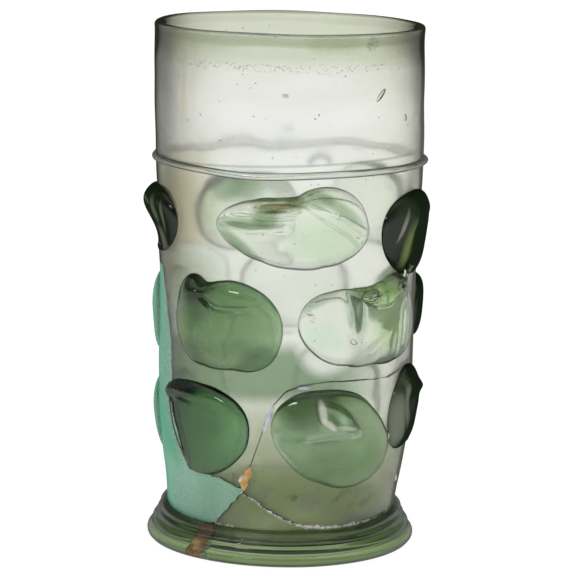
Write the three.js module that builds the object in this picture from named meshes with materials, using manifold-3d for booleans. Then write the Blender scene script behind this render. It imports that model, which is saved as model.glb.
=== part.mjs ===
// Prunted beaker: a tall forest-glass beaker with a trailed collar thread, three staggered rows of
// five prunts, a kicked base and a wound foot ring. It was broken and has been put together again:
// three glass sherds, a panel of cast resin with two cast prunts, and a resin plug in the foot ring.
// Millimetres, +Z up. The origin is on the table under the middle of the foot, and -Y is the front.
// An angle is in degrees round the beaker, 0 at the front and growing towards +X.
import * as THREE from "three";
import { mergeVertices } from "three/addons/utils/BufferGeometryUtils.js";
import Module from "manifold-3d";

const wasm = await Module();
wasm.setup();

// Vessel: the outer radius at each height of the blown wall, and its thickness.
const overallHeight = 168;
const rimRadius = 43.3;
const neckRadius = 43.1;
const waistRadius = 41.2;
const heelRadius = 37.1;
const neckHeight = 132;
const waistHeight = 84;
const bellyHeight = 42;
const heelHeight = 13;
const neckWall = 1.8;
const heelWall = 2.6;
const lipWall = 2.4;
const lipHeight = 5;
const bellyRadius = 40.8;

// Base: the pushed-up kick under the floor.
const restHeight = 1.2;
const floorThickness = 2.8;
const kickHeight = 9;
const edgeRound = 4.5;
const insideRound = 3.4;

// Trailed collar thread, and the foot ring wound in four turns: the radius and height of each turn's
// middle, and how thick the trail is from there to its skin.
const collarHeight = 124.3;
const collarTall = 2.5;
const collarDeep = 1.1;
const footTurns = [[41.2, 2.25, 2.3], [40, 5.5, 1.9], [38.7, 8.2, 1.7], [37.8, 10.6, 1.6]];
const footSteps = 16;

// Clearance between pieces. A prunt's flat faces bow towards the wall between their corners, so it is
// set a little further off.
const seat = 0.3;
const pruntSeat = 0.4;

// How finely round shapes are divided, and how long a degree is on the wall.
const roundSteps = 48;
const wallSteps = 11;
const pruntSectors = 20;
const pruntRings = 9;
const lumpSectors = 10;
const lumpRings = 6;
const perDegree = (bellyRadius * Math.PI) / 180;

// How far a usual prunt stands out from the wall.
const pruntStands = 4.4;

// Prunts: where each one sits, how far it stands out, where its pulled tip lies from its middle, to the
// right and up, how many times wider than tall it is, and how far its edge reaches in eight directions,
// from the right and going over the top, before it is widened.
const prunts = [
  pruntAt("prunt_upper_front", 2, 107.5, pruntStands, [-5, 6], 1.9,
    [12.8, 14, 10.8, 11.5, 12.8, 11.3, 12.1, 13.4]),
  pruntAt("prunt_upper_right", 67, 103, pruntStands, [2, 8], 1.25,
    [13.6, 15, 14, 14.6, 13, 12.4, 13, 13.6]),
  pruntAt("prunt_upper_back_right", 132, 105.5, pruntStands + 0.3, [-2, 8], 1.3,
    [14, 14.6, 13, 14.8, 14, 13.6, 13.2, 14]),
  pruntAt("prunt_upper_back_left", -157, 100.4, pruntStands + 0.3, [3, 7], 1.4,
    [13.6, 14.8, 12.6, 14, 13.4, 13.8, 12.6, 13.4]),
  pruntAt("prunt_upper_left", -80, 105, pruntStands - 0.1, [3, 7.5], 1.35,
    [13.4, 14, 12, 13.2, 12.8, 13, 13.4, 12.8]),
  pruntAt("prunt_middle_front_left", -29.4, 76.2, pruntStands + 0.2, [-9, 9], 1.4,
    [14.2, 14.6, 14, 16, 14, 14.7, 14.3, 16]),
  pruntAt("prunt_middle_front_right", 40.3, 76.2, pruntStands, [11, 6], 1.9,
    [12.6, 14.1, 12.4, 14.7, 13.2, 13.4, 12.7, 14]),
  pruntAt("prunt_middle_right", 108, 77, pruntStands - 0.1, [1, 6], 1.45,
    [12, 12.6, 11.4, 12.4, 11.8, 12.4, 11.6, 12.6]),
  pruntAt("prunt_middle_back", 176, 74.6, pruntStands + 0.4, [-2, 8], 1.45,
    [13.2, 14.4, 13, 14.6, 13, 13.8, 13.2, 14]),
  pruntAt("resin_prunt_middle", -106, 76.6, pruntStands - 0.2, [1, 3], 1.2,
    [13.2, 14.2, 13.6, 14.6, 13.4, 14, 13.4, 13.8]),
  pruntAt("prunt_lower_front_left", -39.5, 41.5, pruntStands, [-8, 10], 1.2,
    [14.2, 14.9, 14.8, 17.4, 15.3, 15.6, 15.1, 13.4]),
  pruntAt("prunt_lower_front_right", 24, 40.2, pruntStands + 0.1, [1, 5], 1.3,
    [15.4, 14.1, 16.1, 18.2, 15.7, 13.8, 15.4, 17.4]),
  pruntAt("prunt_lower_right", 67.5, 45.4, pruntStands - 0.1, [5.3, 8], 0.8,
    [14, 16.5, 15, 13, 12.8, 13.5, 11.8, 13]),
  pruntAt("prunt_lower_back", 150, 42, pruntStands, [2, 8], 1.3,
    [14.2, 15, 14, 14.6, 14.2, 14.4, 14, 14.6]),
  pruntAt("resin_prunt_lower", -113, 42.2, pruntStands - 0.2, [1, 3], 1.25,
    [13.2, 14.2, 13.2, 14, 13.4, 14.2, 13.4, 14]),
];
const tipHeight = 1.4;
const tipSpread = 4.6;
const edgeFullness = 2.7;
const topHeavy = 0.016;

function pruntAt(name, angle, height, stands, tip, wide, reach) {
  return { name, angle, height, stands, tip, wide, reach };
}

// Breaks: the edge of the resin panel as angle and height, in order round it.
const panelEdge = [
  [-76, 90.2], [-69, 79.5], [-63.5, 67.3], [-61, 54.6], [-54, 48.5], [-50.6, 41], [-48.3, 34], [-48, 27.7],
  [-31, 26.5], [-18.5, 23.2], [-33.5, 11.4], [-42.4, 9.6], [-69.5, 10.4], [-104, 10],
  [-132, 10.6], [-148, 11.2], [-152, 30], [-146, 48], [-151, 66], [-147, 85],
  [-130, 91], [-110, 92.4], [-92, 91],
];
// The upper and the lower crack as angle and height. Inside the panel they only join up.
const upperCrack = [
  [-150, 58], [-120, 20], [-19.5, 22.8], [-18.1, 27.3], [-14.5, 33.4], [-11.4, 39.6], [-8.2, 46.6],
  [-5, 51.8], [0, 56], [7, 58.2], [20, 59.2], [38, 58.9], [52, 58.3], [65, 60.4],
  [78, 62.4], [95, 61.6], [118, 60.2], [150, 59], [180, 59.3], [210, 58],
];
const lowerCrack = [
  [-150, 13], [-120, 17], [-24, 21.6], [-19.5, 22.4], [-12.4, 20.2], [-9, 18], [-4.2, 15.9],
  [4.5, 14.4], [24, 13.2], [51, 13], [82, 13.4], [110, 13.8], [150, 13.2], [180, 13.8], [210, 13],
];
// The resin plug's outline in the foot ring, as angle and height.
const plugEdge = [[-45.5, -2], [-36.5, -2], [-31, 14], [-38, 14]];
// Lumps on the cracks: where each sits, half its width and height, its thickness and how far its
// upper end leans round the beaker.
const glueLump = { angle: -17.2, height: 27.6, halfWidth: 1.5, halfHeight: 3.9, thickness: 0.7, lean: 1.3 };
const fillerPatch = { angle: -7.2, height: 47.4, halfWidth: 1.3, halfHeight: 4.2, thickness: 0.5, lean: 1.4 };

// Cutters: the radii they pass through, from inside the wall to well outside it.
const cutRadii = [24, 33, 38, 43, 48, 200];
const cutDeep = 10;
const crackSteps = 80;

const glass = { color: 0xa9b79c, roughness: 0.06, metalness: 0, transparent: true, opacity: 0.45 };
const materials = {
  vessel: new THREE.MeshStandardMaterial(glass),
  trail: new THREE.MeshStandardMaterial({ ...glass, color: 0x6f7f58, opacity: 0.7 }),
  prunt: new THREE.MeshStandardMaterial({ ...glass, color: 0x6f8f66, opacity: 0.7 }),
  resin: new THREE.MeshStandardMaterial({ ...glass, color: 0x5fa88c, roughness: 0.3, opacity: 0.85 }),
  plug: new THREE.MeshStandardMaterial({ ...glass, color: 0x7a5a24, roughness: 0.35, opacity: 0.95 }),
  glue: new THREE.MeshStandardMaterial({ ...glass, color: 0xb88a4a, roughness: 0.5, opacity: 1 }),
  filler: new THREE.MeshStandardMaterial({ ...glass, color: 0xc9cbd2, roughness: 0.6, opacity: 1 }),
};

// The point on a circle of this radius at an angle and a height.
function around(angle, radius, height) {
  const a = THREE.MathUtils.degToRad(angle);
  return new THREE.Vector3(radius * Math.sin(a), -radius * Math.cos(a), height);
}

// A smooth line through stations of [position, value], read at one position.
function along(stations, at) {
  const last = stations.length - 1;
  const x = THREE.MathUtils.clamp(at, stations[0][0], stations[last][0]);
  let i = 0;
  while (i < last - 1 && x > stations[i + 1][0]) i += 1;
  const slope = (k) => {
    const a = stations[Math.max(0, k - 1)];
    const b = stations[Math.min(last, k + 1)];
    return (b[1] - a[1]) / (b[0] - a[0]);
  };
  const [x0, y0] = stations[i];
  const [x1, y1] = stations[i + 1];
  const span = x1 - x0;
  const t = (x - x0) / span;
  const bend = t * t * (3 - 2 * t);
  return y0 + (y1 - y0) * bend + span * t * (1 - t) * ((1 - t) * slope(i) - t * slope(i + 1));
}

// The height of a crack at an angle, and how much it climbs for each millimetre along the wall.
function crackAt(stations, angle) {
  const i = Math.max(1, stations.findIndex((station) => station[0] >= angle));
  const [angle0, height0] = stations[i - 1];
  const [angle1, height1] = stations[i];
  const climb = (height1 - height0) / (angle1 - angle0);
  return { height: height0 + climb * (angle - angle0), slope: climb / perDegree };
}

const outerStations = [
  [restHeight + edgeRound, heelRadius - 0.4],
  [heelHeight, heelRadius],
  [bellyHeight, bellyRadius],
  [waistHeight, waistRadius],
  [neckHeight, neckRadius],
  [overallHeight - lipHeight, neckRadius],
  [overallHeight, rimRadius],
];
const outerRadius = (height) => along(outerStations, height);
const wallStations = [[heelHeight, heelWall], [neckHeight, neckWall], [overallHeight - lipHeight, neckWall]];
const innerRadius = (height) => outerRadius(height) - along(wallStations, height);

function toSolid(geometry) {
  const bare = new THREE.BufferGeometry().setAttribute("position", geometry.getAttribute("position"));
  if (geometry.index) bare.setIndex(geometry.index);
  const merged = mergeVertices(bare, 1e-4);
  const faces = [];
  const index = merged.index.array;
  for (let i = 0; i < index.length; i += 3) {
    const [a, b, c] = [index[i], index[i + 1], index[i + 2]];
    if (a !== b && b !== c && c !== a) faces.push(a, b, c);
  }
  const vertProperties = new Float32Array(merged.getAttribute("position").array);
  return new wasm.Manifold(new wasm.Mesh({ numProp: 3, vertProperties, triVerts: new Uint32Array(faces) }));
}

function toMesh(name, solid, material) {
  const { numProp, vertProperties, triVerts } = solid.getMesh();
  const count = vertProperties.length / numProp;
  const position = new Float32Array(count * 3);
  for (let i = 0; i < count; i += 1) {
    position.set(vertProperties.subarray(i * numProp, i * numProp + 3), i * 3);
  }
  const geometry = new THREE.BufferGeometry();
  geometry.setAttribute("position", new THREE.BufferAttribute(position, 3));
  geometry.setIndex(new THREE.BufferAttribute(new Uint32Array(triVerts), 1));
  geometry.computeVertexNormals();
  const mesh = new THREE.Mesh(geometry, material);
  mesh.name = name;
  return mesh;
}

// A profile of [radius, height] points, anticlockwise, turned round the beaker's axis.
function turned(profile) {
  const points = profile.map(([radius, height]) => new THREE.Vector2(radius, height));
  return new THREE.LatheGeometry(points, roundSteps).rotateX(Math.PI / 2);
}

// Points on an arc about a centre, from one angle to another in degrees, 0 pointing outwards.
function arc(radius, height, round, from, to, steps) {
  return Array.from({ length: steps + 1 }, (_, i) => {
    const turn = THREE.MathUtils.degToRad(from + ((to - from) * i) / steps);
    return [radius + round * Math.cos(turn), height + round * Math.sin(turn)];
  });
}

// The blown vessel before it broke: kick, edge, wall and fire-polished lip, then back down inside.
function blownVessel() {
  const floorHeight = restHeight + floorThickness;
  const outsideStart = restHeight + edgeRound;
  const insideStart = floorHeight + insideRound;
  const edgeMiddle = outerRadius(outsideStart) - edgeRound;
  const cornerMiddle = innerRadius(insideStart) - insideRound;
  const shares = [0, 0.25, 0.5, 0.75];
  const rise = (share) => (kickHeight / 2) * (1 + Math.cos(Math.PI * share));
  const kick = shares.map((share) => [share * cornerMiddle, rise(share)]);
  const raised = (by) => kick.map(([radius, height]) => [radius, height + by]);
  const edge = arc(edgeMiddle, outsideStart, edgeRound, -90, 0, 4);
  const corner = arc(cornerMiddle, insideStart, insideRound, 0, -90, 3);
  const lip = arc(rimRadius - lipWall / 2, overallHeight - lipWall / 2, lipWall / 2, 0, 180, 4);
  const climb = (overallHeight - lipHeight - outsideStart) / wallSteps;
  const heights = Array.from({ length: wallSteps }, (_, i) => outsideStart + climb * (i + 1));
  const outside = heights.map((height) => [outerRadius(height), height]);
  const inside = heights.map((height) => [innerRadius(height), height]).reverse();
  const floor = raised(floorHeight).reverse();
  return turned([...raised(restHeight), ...edge, ...outside, ...lip, ...inside, ...corner, ...floor]);
}

// Everything below a crack that runs round the wall, moved up or down by a shift across the crack.
function below(crack, shift) {
  const outside = cutRadii[cutRadii.length - 1];
  const top = [...cutRadii].reverse().map((radius) => [radius, 1]);
  const points = [[0, -cutDeep], [outside, -cutDeep], ...top, [0, 1]];
  const disc = new THREE.LatheGeometry(points.map((p) => new THREE.Vector2(...p)), crackSteps);
  disc.rotateX(Math.PI / 2);
  const place = disc.getAttribute("position");
  for (let i = 0; i < place.count; i += 1) {
    if (place.getZ(i) < 0) continue;
    const [x, y] = [place.getX(i), place.getY(i)];
    let angle = THREE.MathUtils.radToDeg(Math.atan2(x, -y));
    if (angle < crack[0][0]) angle += 360;
    const onAxis = Math.hypot(x, y) < 1e-3;
    const { height, slope } = crackAt(crack, angle);
    place.setZ(i, onAxis ? crack[0][1] : height + shift * Math.hypot(1, slope));
  }
  return toSolid(disc);
}

// A cutter through the wall, over an outline drawn on it in angles and heights.
function throughWall(outline) {
  const shape = new THREE.Shape(outline.map(([angle, height]) => new THREE.Vector2(angle, height)));
  const steps = cutRadii.length - 1;
  const slab = new THREE.ExtrudeGeometry(shape, { depth: steps, steps, bevelEnabled: false });
  const place = slab.getAttribute("position");
  for (let i = 0; i < place.count; i += 1) {
    const radius = cutRadii[Math.round(place.getZ(i))];
    const { x, y, z } = around(place.getX(i), radius, place.getY(i));
    place.setXYZ(i, x, y, z);
  }
  return toSolid(slab);
}

// The outline moved outwards by a distance, measured on the wall.
function grown(outline, by) {
  const flat = outline.map(([angle, height]) => new THREE.Vector2(angle * perDegree, height));
  const turnsLeft = THREE.ShapeUtils.area(flat) > 0 ? 1 : -1;
  const outward = (a, b) => new THREE.Vector2(b.y - a.y, a.x - b.x).normalize().multiplyScalar(turnsLeft);
  return flat.map((point, i) => {
    const before = outward(flat[(i + flat.length - 1) % flat.length], point);
    const after = outward(point, flat[(i + 1) % flat.length]);
    const middle = before.clone().add(after).normalize();
    const moved = point.clone().addScaledVector(middle, by / Math.max(0.5, middle.dot(after)));
    return [moved.x / perDegree, moved.y];
  });
}

// How far a prunt's edge lies from its middle in a direction, smoothly through its eight reaches.
function edgeReach(reach, turn) {
  const eighths = ((turn / (2 * Math.PI)) * reach.length + reach.length) % reach.length;
  const i = Math.floor(eighths);
  const t = eighths - i;
  const [a, b, c, d] = [-1, 0, 1, 2].map((step) => reach[(i + step + reach.length) % reach.length]);
  return b + 0.5 * t * (c - a + t * (2 * a - 5 * b + 4 * c - d + t * (3 * (b - c) + d - a)));
}

// A prunt, laid on the wall: a ball drawn out to the prunt's edge, with the half behind lying on the
// wall and the half in front raised as a full-edged dome that is heavier above and has a pulled tip.
function pruntBody({ angle, height, stands, tip, wide, reach }) {
  const ball = new THREE.SphereGeometry(1, pruntSectors, pruntRings).rotateX(Math.PI / 2);
  const place = ball.getAttribute("position");
  for (let i = 0; i < place.count; i += 1) {
    const [x, y, z] = [place.getX(i), place.getY(i), place.getZ(i)];
    const out = Math.hypot(x, y);
    const turn = Math.atan2(y, x);
    const right = out * edgeReach(reach, turn) * Math.cos(turn) * wide;
    const up = out * edgeReach(reach, turn) * Math.sin(turn);
    const dome = Math.sqrt(Math.max(0, 1 - out ** edgeFullness));
    const pull = Math.exp(-((right - tip[0]) ** 2 + (up - tip[1]) ** 2) / (2 * tipSpread ** 2));
    const rise = dome * (stands * (1 + topHeavy * up) - tipHeight / 2 + tipHeight * pull);
    const level = height + up;
    const radius = outerRadius(level) + pruntSeat + (z > 0 ? rise : 0);
    const point = around(angle + right / perDegree, radius, level);
    place.setXYZ(i, point.x, point.y, point.z);
  }
  return toSolid(ball);
}

// The thread trailed round below the neck.
function collarThread() {
  const half = collarTall / 2;
  const face = [-1, -0.75, -0.35, 0, 0.35, 0.75, 1].map((share) => {
    const height = collarHeight + share * half;
    return [outerRadius(height) + seat + collarDeep * Math.sqrt(1 - share * share), height];
  });
  const back = [outerRadius(collarHeight) + seat, collarHeight];
  return turned([...face, back, face[0]]);
}

// The foot ring: its face follows whichever of the wound turns stands out furthest at each height.
function footRing() {
  const [turnRadius, turnHeight, trail] = footTurns[footTurns.length - 1];
  const top = turnHeight + trail;
  const inner = outerRadius(top) + seat;
  const skinAt = (height) => ([radius, middle, thick]) => {
    const square = thick ** 2 - (height - middle) ** 2;
    return square > 0 ? radius + Math.sqrt(square) : inner;
  };
  const reach = (height) => Math.max(...footTurns.map(skinAt(height)));
  const heights = Array.from({ length: footSteps }, (_, i) => (top * i) / footSteps);
  const face = heights.map((height) => [reach(height), height]);
  return toSolid(turned([[inner, 0], ...face, [turnRadius, top], [inner, top - seat], [inner, 0]]));
}

// A flat lump of adhesive or filler, on the wall over a crack.
function lump({ angle, height, halfWidth, halfHeight, thickness, lean }) {
  const ball = new THREE.SphereGeometry(1, lumpSectors, lumpRings).rotateX(Math.PI / 2);
  const place = ball.getAttribute("position");
  for (let i = 0; i < place.count; i += 1) {
    const up = place.getY(i);
    const level = height + up * halfHeight;
    const right = place.getX(i) * halfWidth + up * lean;
    const radius = outerRadius(level) + seat + Math.max(0, place.getZ(i)) * thickness;
    const point = around(angle + right / perDegree, radius, level);
    place.setXYZ(i, point.x, point.y, point.z);
  }
  return toSolid(ball);
}

const beaker = new THREE.Group();

const blank = toSolid(blownVessel());
const panelHole = throughWall(grown(panelEdge, seat));
const broken = blank.subtract(panelHole);
const belowUpper = below(upperCrack, -seat / 2);
const belowLower = below(lowerCrack, -seat / 2);
beaker.add(toMesh("vessel_upper", broken.subtract(below(upperCrack, seat / 2)), materials.vessel));
const band = broken.intersect(belowUpper).subtract(below(lowerCrack, seat / 2));
beaker.add(toMesh("vessel_lower_sherd", band, materials.vessel));
beaker.add(toMesh("vessel_base", broken.intersect(belowLower), materials.vessel));
beaker.add(toMesh("resin_panel", blank.intersect(throughWall(panelEdge)), materials.resin));

for (const prunt of prunts) {
  const isResin = prunt.name.startsWith("resin");
  const whole = pruntBody(prunt);
  const solid = isResin ? whole : whole.subtract(panelHole);
  beaker.add(toMesh(prunt.name, solid, isResin ? materials.resin : materials.prunt));
}

beaker.add(toMesh("collar_thread", toSolid(collarThread()), materials.trail));
const ring = footRing();
beaker.add(toMesh("foot_ring", ring.subtract(throughWall(grown(plugEdge, seat))), materials.trail));
beaker.add(toMesh("foot_ring_plug", ring.intersect(throughWall(plugEdge)), materials.plug));
beaker.add(toMesh("adhesive_lump", lump(glueLump), materials.glue));
beaker.add(toMesh("filler_patch", lump(fillerPatch), materials.filler));

export default beaker;
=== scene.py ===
"""Dresses the prunted beaker: blown forest glass, green prunts, trailed collar and foot, old breaks
mended with tinted resin. Metres, +Z up, -Y the front. Shapes are worked out in millimetres."""

import math
import random

import bmesh
import bpy
from bpy.props import FloatProperty, FloatVectorProperty, IntProperty, PointerProperty
from mathutils import Matrix, Vector, noise


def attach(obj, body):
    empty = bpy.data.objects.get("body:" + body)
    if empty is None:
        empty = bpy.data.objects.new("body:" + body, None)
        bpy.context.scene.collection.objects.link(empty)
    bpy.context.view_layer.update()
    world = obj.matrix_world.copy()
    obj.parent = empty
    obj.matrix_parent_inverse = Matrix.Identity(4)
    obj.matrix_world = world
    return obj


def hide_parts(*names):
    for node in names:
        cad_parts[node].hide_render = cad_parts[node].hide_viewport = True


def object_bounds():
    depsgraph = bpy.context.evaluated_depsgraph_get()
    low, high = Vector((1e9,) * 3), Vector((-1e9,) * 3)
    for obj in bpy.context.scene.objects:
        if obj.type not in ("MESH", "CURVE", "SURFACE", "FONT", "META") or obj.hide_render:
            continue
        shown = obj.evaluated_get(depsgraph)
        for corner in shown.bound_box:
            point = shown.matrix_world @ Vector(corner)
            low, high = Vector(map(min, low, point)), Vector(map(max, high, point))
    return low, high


bl_info = {
    "name": "Prunted Beaker",
    "version": (1, 0, 0),
    "blender": (4, 5, 0),
    "location": "3D Viewport > Sidebar > Beaker",
    "description": "Builds the glass, the prunts and the old mends of a prunted beaker",
    "category": "Object",
}

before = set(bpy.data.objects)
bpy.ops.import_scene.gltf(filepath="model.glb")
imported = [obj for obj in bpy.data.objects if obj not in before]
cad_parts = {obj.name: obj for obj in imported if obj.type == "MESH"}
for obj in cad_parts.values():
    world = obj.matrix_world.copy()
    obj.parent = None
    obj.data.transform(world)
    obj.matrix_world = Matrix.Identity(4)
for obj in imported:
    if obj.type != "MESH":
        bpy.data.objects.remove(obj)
cad_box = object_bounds()

MM = 0.001

# Vessel: outer radius at each height, and the wall's thickness.
RIM_HEIGHT = cad_box[1][2] / MM
RIM_RADIUS = 43.3
MID_RADIUS = 41
REST_HEIGHT = 1.2
OUTER = [(5.7, 36.7), (13, 37.1), (42, 40.8), (84, 41.2), (132, 43.1), (163, 43.1), (RIM_HEIGHT, RIM_RADIUS)]
WALL = [(13, 2.6), (132, 1.8), (163, 1.8)]
LIP_WALL = 2.4
FLOOR_THICKNESS = 2.8
KICK_HEIGHT = 9
EDGE_ROUND = 4.5
INSIDE_ROUND = 3.4
PER_DEGREE = 40.8 * math.pi / 180

# How far the blower's hand wandered: sideways lean of each height.
LEAN = [(0, -0.3), (14, -0.1), (26, 0.4), (58, 0.5), (118, 0.4), (134, 0.2), (146, -0.25), (168, -0.5)]

# Fused pieces sink a little into each other, and a closed crack stays a hair open. A hole through the
# wall and a crack are cut through these radii.
SUNK = 0.15
HAIR = 0.09
CUT_RADII = (33, 38, 40, 42, 46, 60, 200)
CRACK_RADII = (200, 48, 43, 42, 41, 40, 39, 38, 36, 33, 20)
CRACK_STEPS = 720
BREAK_ROUGHNESS = 0.5
PANEL_SEED = 2.0
PLUG_SEED = 6.0

# The breaks, as angle and height on the wall.
PANEL_EDGE = [
    (-76, 90.2), (-69, 79.5), (-63.5, 67.3), (-61, 54.6), (-54, 48.5), (-50.6, 41), (-48.3, 34), (-48, 27.7),
    (-31, 26.5), (-18.5, 23.2), (-33.5, 11.4), (-42.4, 9.6), (-69.5, 10.4), (-104, 10),
    (-132, 10.6), (-148, 11.2), (-152, 30), (-146, 48), (-151, 66), (-147, 85),
    (-130, 91), (-110, 92.4), (-92, 91),
]
UPPER_CRACK = [
    (-150, 58), (-120, 20), (-19.5, 22.8), (-18.1, 27.3), (-14.5, 33.4), (-11.4, 39.6), (-8.2, 46.6),
    (-5, 51.8), (0, 56), (7, 58.2), (20, 59.2), (38, 58.9), (52, 58.3), (65, 60.4),
    (78, 62.4), (95, 61.6), (118, 60.2), (150, 59), (180, 59.3), (210, 58),
]
LOWER_CRACK = [
    (-150, 13), (-120, 17), (-24, 21.6), (-19.5, 22.4), (-12.4, 20), (-8.6, 17.9), (-3.5, 15.9), (1.6, 14.1),
    (12.5, 11.7), (24.5, 10.9), (41, 11), (55, 11.1), (72, 11.8), (82, 12.6), (110, 13.8), (150, 13.2),
    (180, 13.8), (210, 13),
]
PLUG_EDGE = [(-45.5, -2), (-36.5, -2), (-31, 14), (-38, 14)]

# Collar and foot: heights, and the foot's turns as radius, height and thickness of the trail.
COLLAR_HEIGHT = 124.3
COLLAR_PATH = [
    (-180, 124.3), (-90, 124.4), (-65, 124.8), (-40, 124.4), (-16, 123.7), (0, 124.1),
    (21, 124.7), (54, 125), (90, 124.8), (135, 124.4), (180, 124.3),
]
COLLAR_TALL = 2.3
COLLAR_DEEP = 1.35
TRAIL_STEPS = 240
FOOT_TURNS = [(41.2, 2.25, 2.3), (40, 5.5, 1.9), (38.7, 8.2, 1.7), (37.8, 10.6, 1.6)]
FOOT_TOP = 12.2
FOOT_RISE = [(-180, 1), (-100, 1), (-55, 0.89), (0, 0.87), (40, 0.87), (72, 0.97), (100, 1), (180, 1)]


def around(angle, radius, height):
    """The point at an angle in degrees from the front, a radius and a height."""
    turn = math.radians(angle)
    return Vector((radius * math.sin(turn), -radius * math.cos(turn), height))


def bearing(place):
    """The angle of a place, in degrees from the front."""
    return math.degrees(math.atan2(place.x, -place.y))


def along(stations, at):
    """A smooth line through stations of (position, value), read at one position."""
    last = len(stations) - 1
    x = min(max(at, stations[0][0]), stations[last][0])
    i = 0
    while i < last - 1 and x > stations[i + 1][0]:
        i += 1

    def slope(k):
        a, b = stations[max(0, k - 1)], stations[min(last, k + 1)]
        return (b[1] - a[1]) / (b[0] - a[0])

    (x0, y0), (x1, y1) = stations[i], stations[i + 1]
    span = x1 - x0
    t = (x - x0) / span
    bend = t * t * (3 - 2 * t)
    return y0 + (y1 - y0) * bend + span * t * (1 - t) * ((1 - t) * slope(i) - t * slope(i + 1))


def straight(stations, at):
    """Straight lines through stations of (position, value), read at one position."""
    for (x0, y0), (x1, y1) in zip(stations, stations[1:]):
        if at <= x1:
            return y0 + (y1 - y0) * max(0.0, (at - x0) / (x1 - x0))
    return stations[-1][1]


def curved(ring, i, t):
    """A smooth line through a ring of values, a share t of the way from value i to the next."""
    a, b, c, d = (ring[(i + step) % len(ring)] for step in (-1, 0, 1, 2))
    return b + 0.5 * t * (c - a + t * (2 * a - 5 * b + 4 * c - d + t * (3 * (b - c) + d - a)))


def smooth(low, high, value):
    """0 below low, 1 above high and a soft step between."""
    t = min(max((value - low) / (high - low), 0.0), 1.0)
    return t * t * (3 - 2 * t)


def ripple(place, wide, tall, seed):
    """Soft random waves over a place, so many millimetres wide and tall."""
    return noise.noise(Vector((place.x / wide + seed, place.y / wide - seed, place.z / tall)))


def skin_wave(place):
    """How far the outside bulges at a place, from the blowing and marvering."""
    return 0.30 * ripple(place, 21, 13, 3.7) + 0.035 * ripple(place, 7, 5, 9.1)


def hollow_wave(place):
    """How far the inside bulges at a place."""
    return 0.28 * ripple(place, 17, 11, 21.3) + 0.03 * ripple(place, 6, 5, 14.9)


def rim_wave(place):
    """The rim's rise and fall, fire polished by hand."""
    return 0.35 * ripple(place, 26, 60, 5.2) - 0.2


def skin(angle, height):
    """The outer radius of the wall at an angle and height."""
    radius = along(OUTER, height)
    return radius + skin_wave(around(angle, radius, height))


def inner_radius(height):
    return along(OUTER, height) - along(WALL, height)


def settle(bm, outwards=True):
    """Leans a shape as the whole beaker leans, turns its faces outwards and turns it to metres."""
    for vert in bm.verts:
        vert.co.x += along(LEAN, vert.co.z)
    if outwards:
        bmesh.ops.recalc_face_normals(bm, faces=bm.faces)
        if bm.calc_volume(signed=True) < 0:
            bmesh.ops.reverse_faces(bm, faces=bm.faces)
    bmesh.ops.scale(bm, vec=(MM, MM, MM), verts=bm.verts)


def new_mesh(name, bm):
    mesh = bpy.data.meshes.new(name)
    bm.to_mesh(mesh)
    bm.free()
    return mesh


def opened(mesh):
    """A mesh opened for modelling."""
    bm = bmesh.new()
    bm.from_mesh(mesh)
    return bm


def link(name, bm, material, slot, *replaced, sharp=50, voids=None):
    """Puts a shape in the scene as a piece that rides on the beaker, in place of the plain nodes named.
    Voids are closed hollows inside it."""
    settle(bm)
    if voids:
        settle(voids, outwards=False)
        bm.from_mesh(new_mesh("voids", voids))
    mesh = new_mesh((*replaced, name)[0], bm)
    mesh.shade_smooth()
    mesh.set_sharp_from_angle(angle=math.radians(sharp))
    mesh.materials.append(material)
    piece = bpy.data.objects.new(name, mesh)
    bpy.context.scene.collection.objects.link(piece)
    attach(piece, "root")
    if replaced:
        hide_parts(*replaced)


def carve(mesh, cutter, operation):
    """The mesh cut with, or kept within, a cutter: a new mesh."""
    scene = bpy.context.scene
    body = bpy.data.objects.new("carved", mesh)
    tool = bpy.data.objects.new("carver", cutter)
    for part in (body, tool):
        scene.collection.objects.link(part)
    step = body.modifiers.new("cut", "BOOLEAN")
    step.operation = operation
    step.solver = "MANIFOLD"
    step.object = tool
    graph = bpy.context.evaluated_depsgraph_get()
    result = bpy.data.meshes.new_from_object(body.evaluated_get(graph))
    for part in (body, tool):
        bpy.data.objects.remove(part)
    if not result.polygons:
        raise RuntimeError(f"a cut left nothing of {mesh.name}")
    return result


def turned(profile, steps, closed=False):
    """A profile of (radius, height) points spun once round the axis."""
    bm = bmesh.new()
    points = [bm.verts.new((0, -radius, height)) for radius, height in profile]
    ends = points[1:] + points[:1] if closed else points[1:]
    edges = [bm.edges.new(pair) for pair in zip(points, ends)]
    bmesh.ops.spin(
        bm, geom=points + edges, axis=(0, 0, 1), angle=2 * math.pi, steps=steps, use_merge=True
    )
    bmesh.ops.remove_doubles(bm, verts=bm.verts, dist=1e-4)
    bmesh.ops.recalc_face_normals(bm, faces=bm.faces)
    return bm


def arc(radius, height, size, start, stop, steps):
    """Points on an arc about a centre, between two angles in degrees, 0 pointing outwards."""
    turns = [math.radians(start + (stop - start) * i / steps) for i in range(steps + 1)]
    return [(radius + size * math.cos(turn), height + size * math.sin(turn)) for turn in turns]


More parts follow.
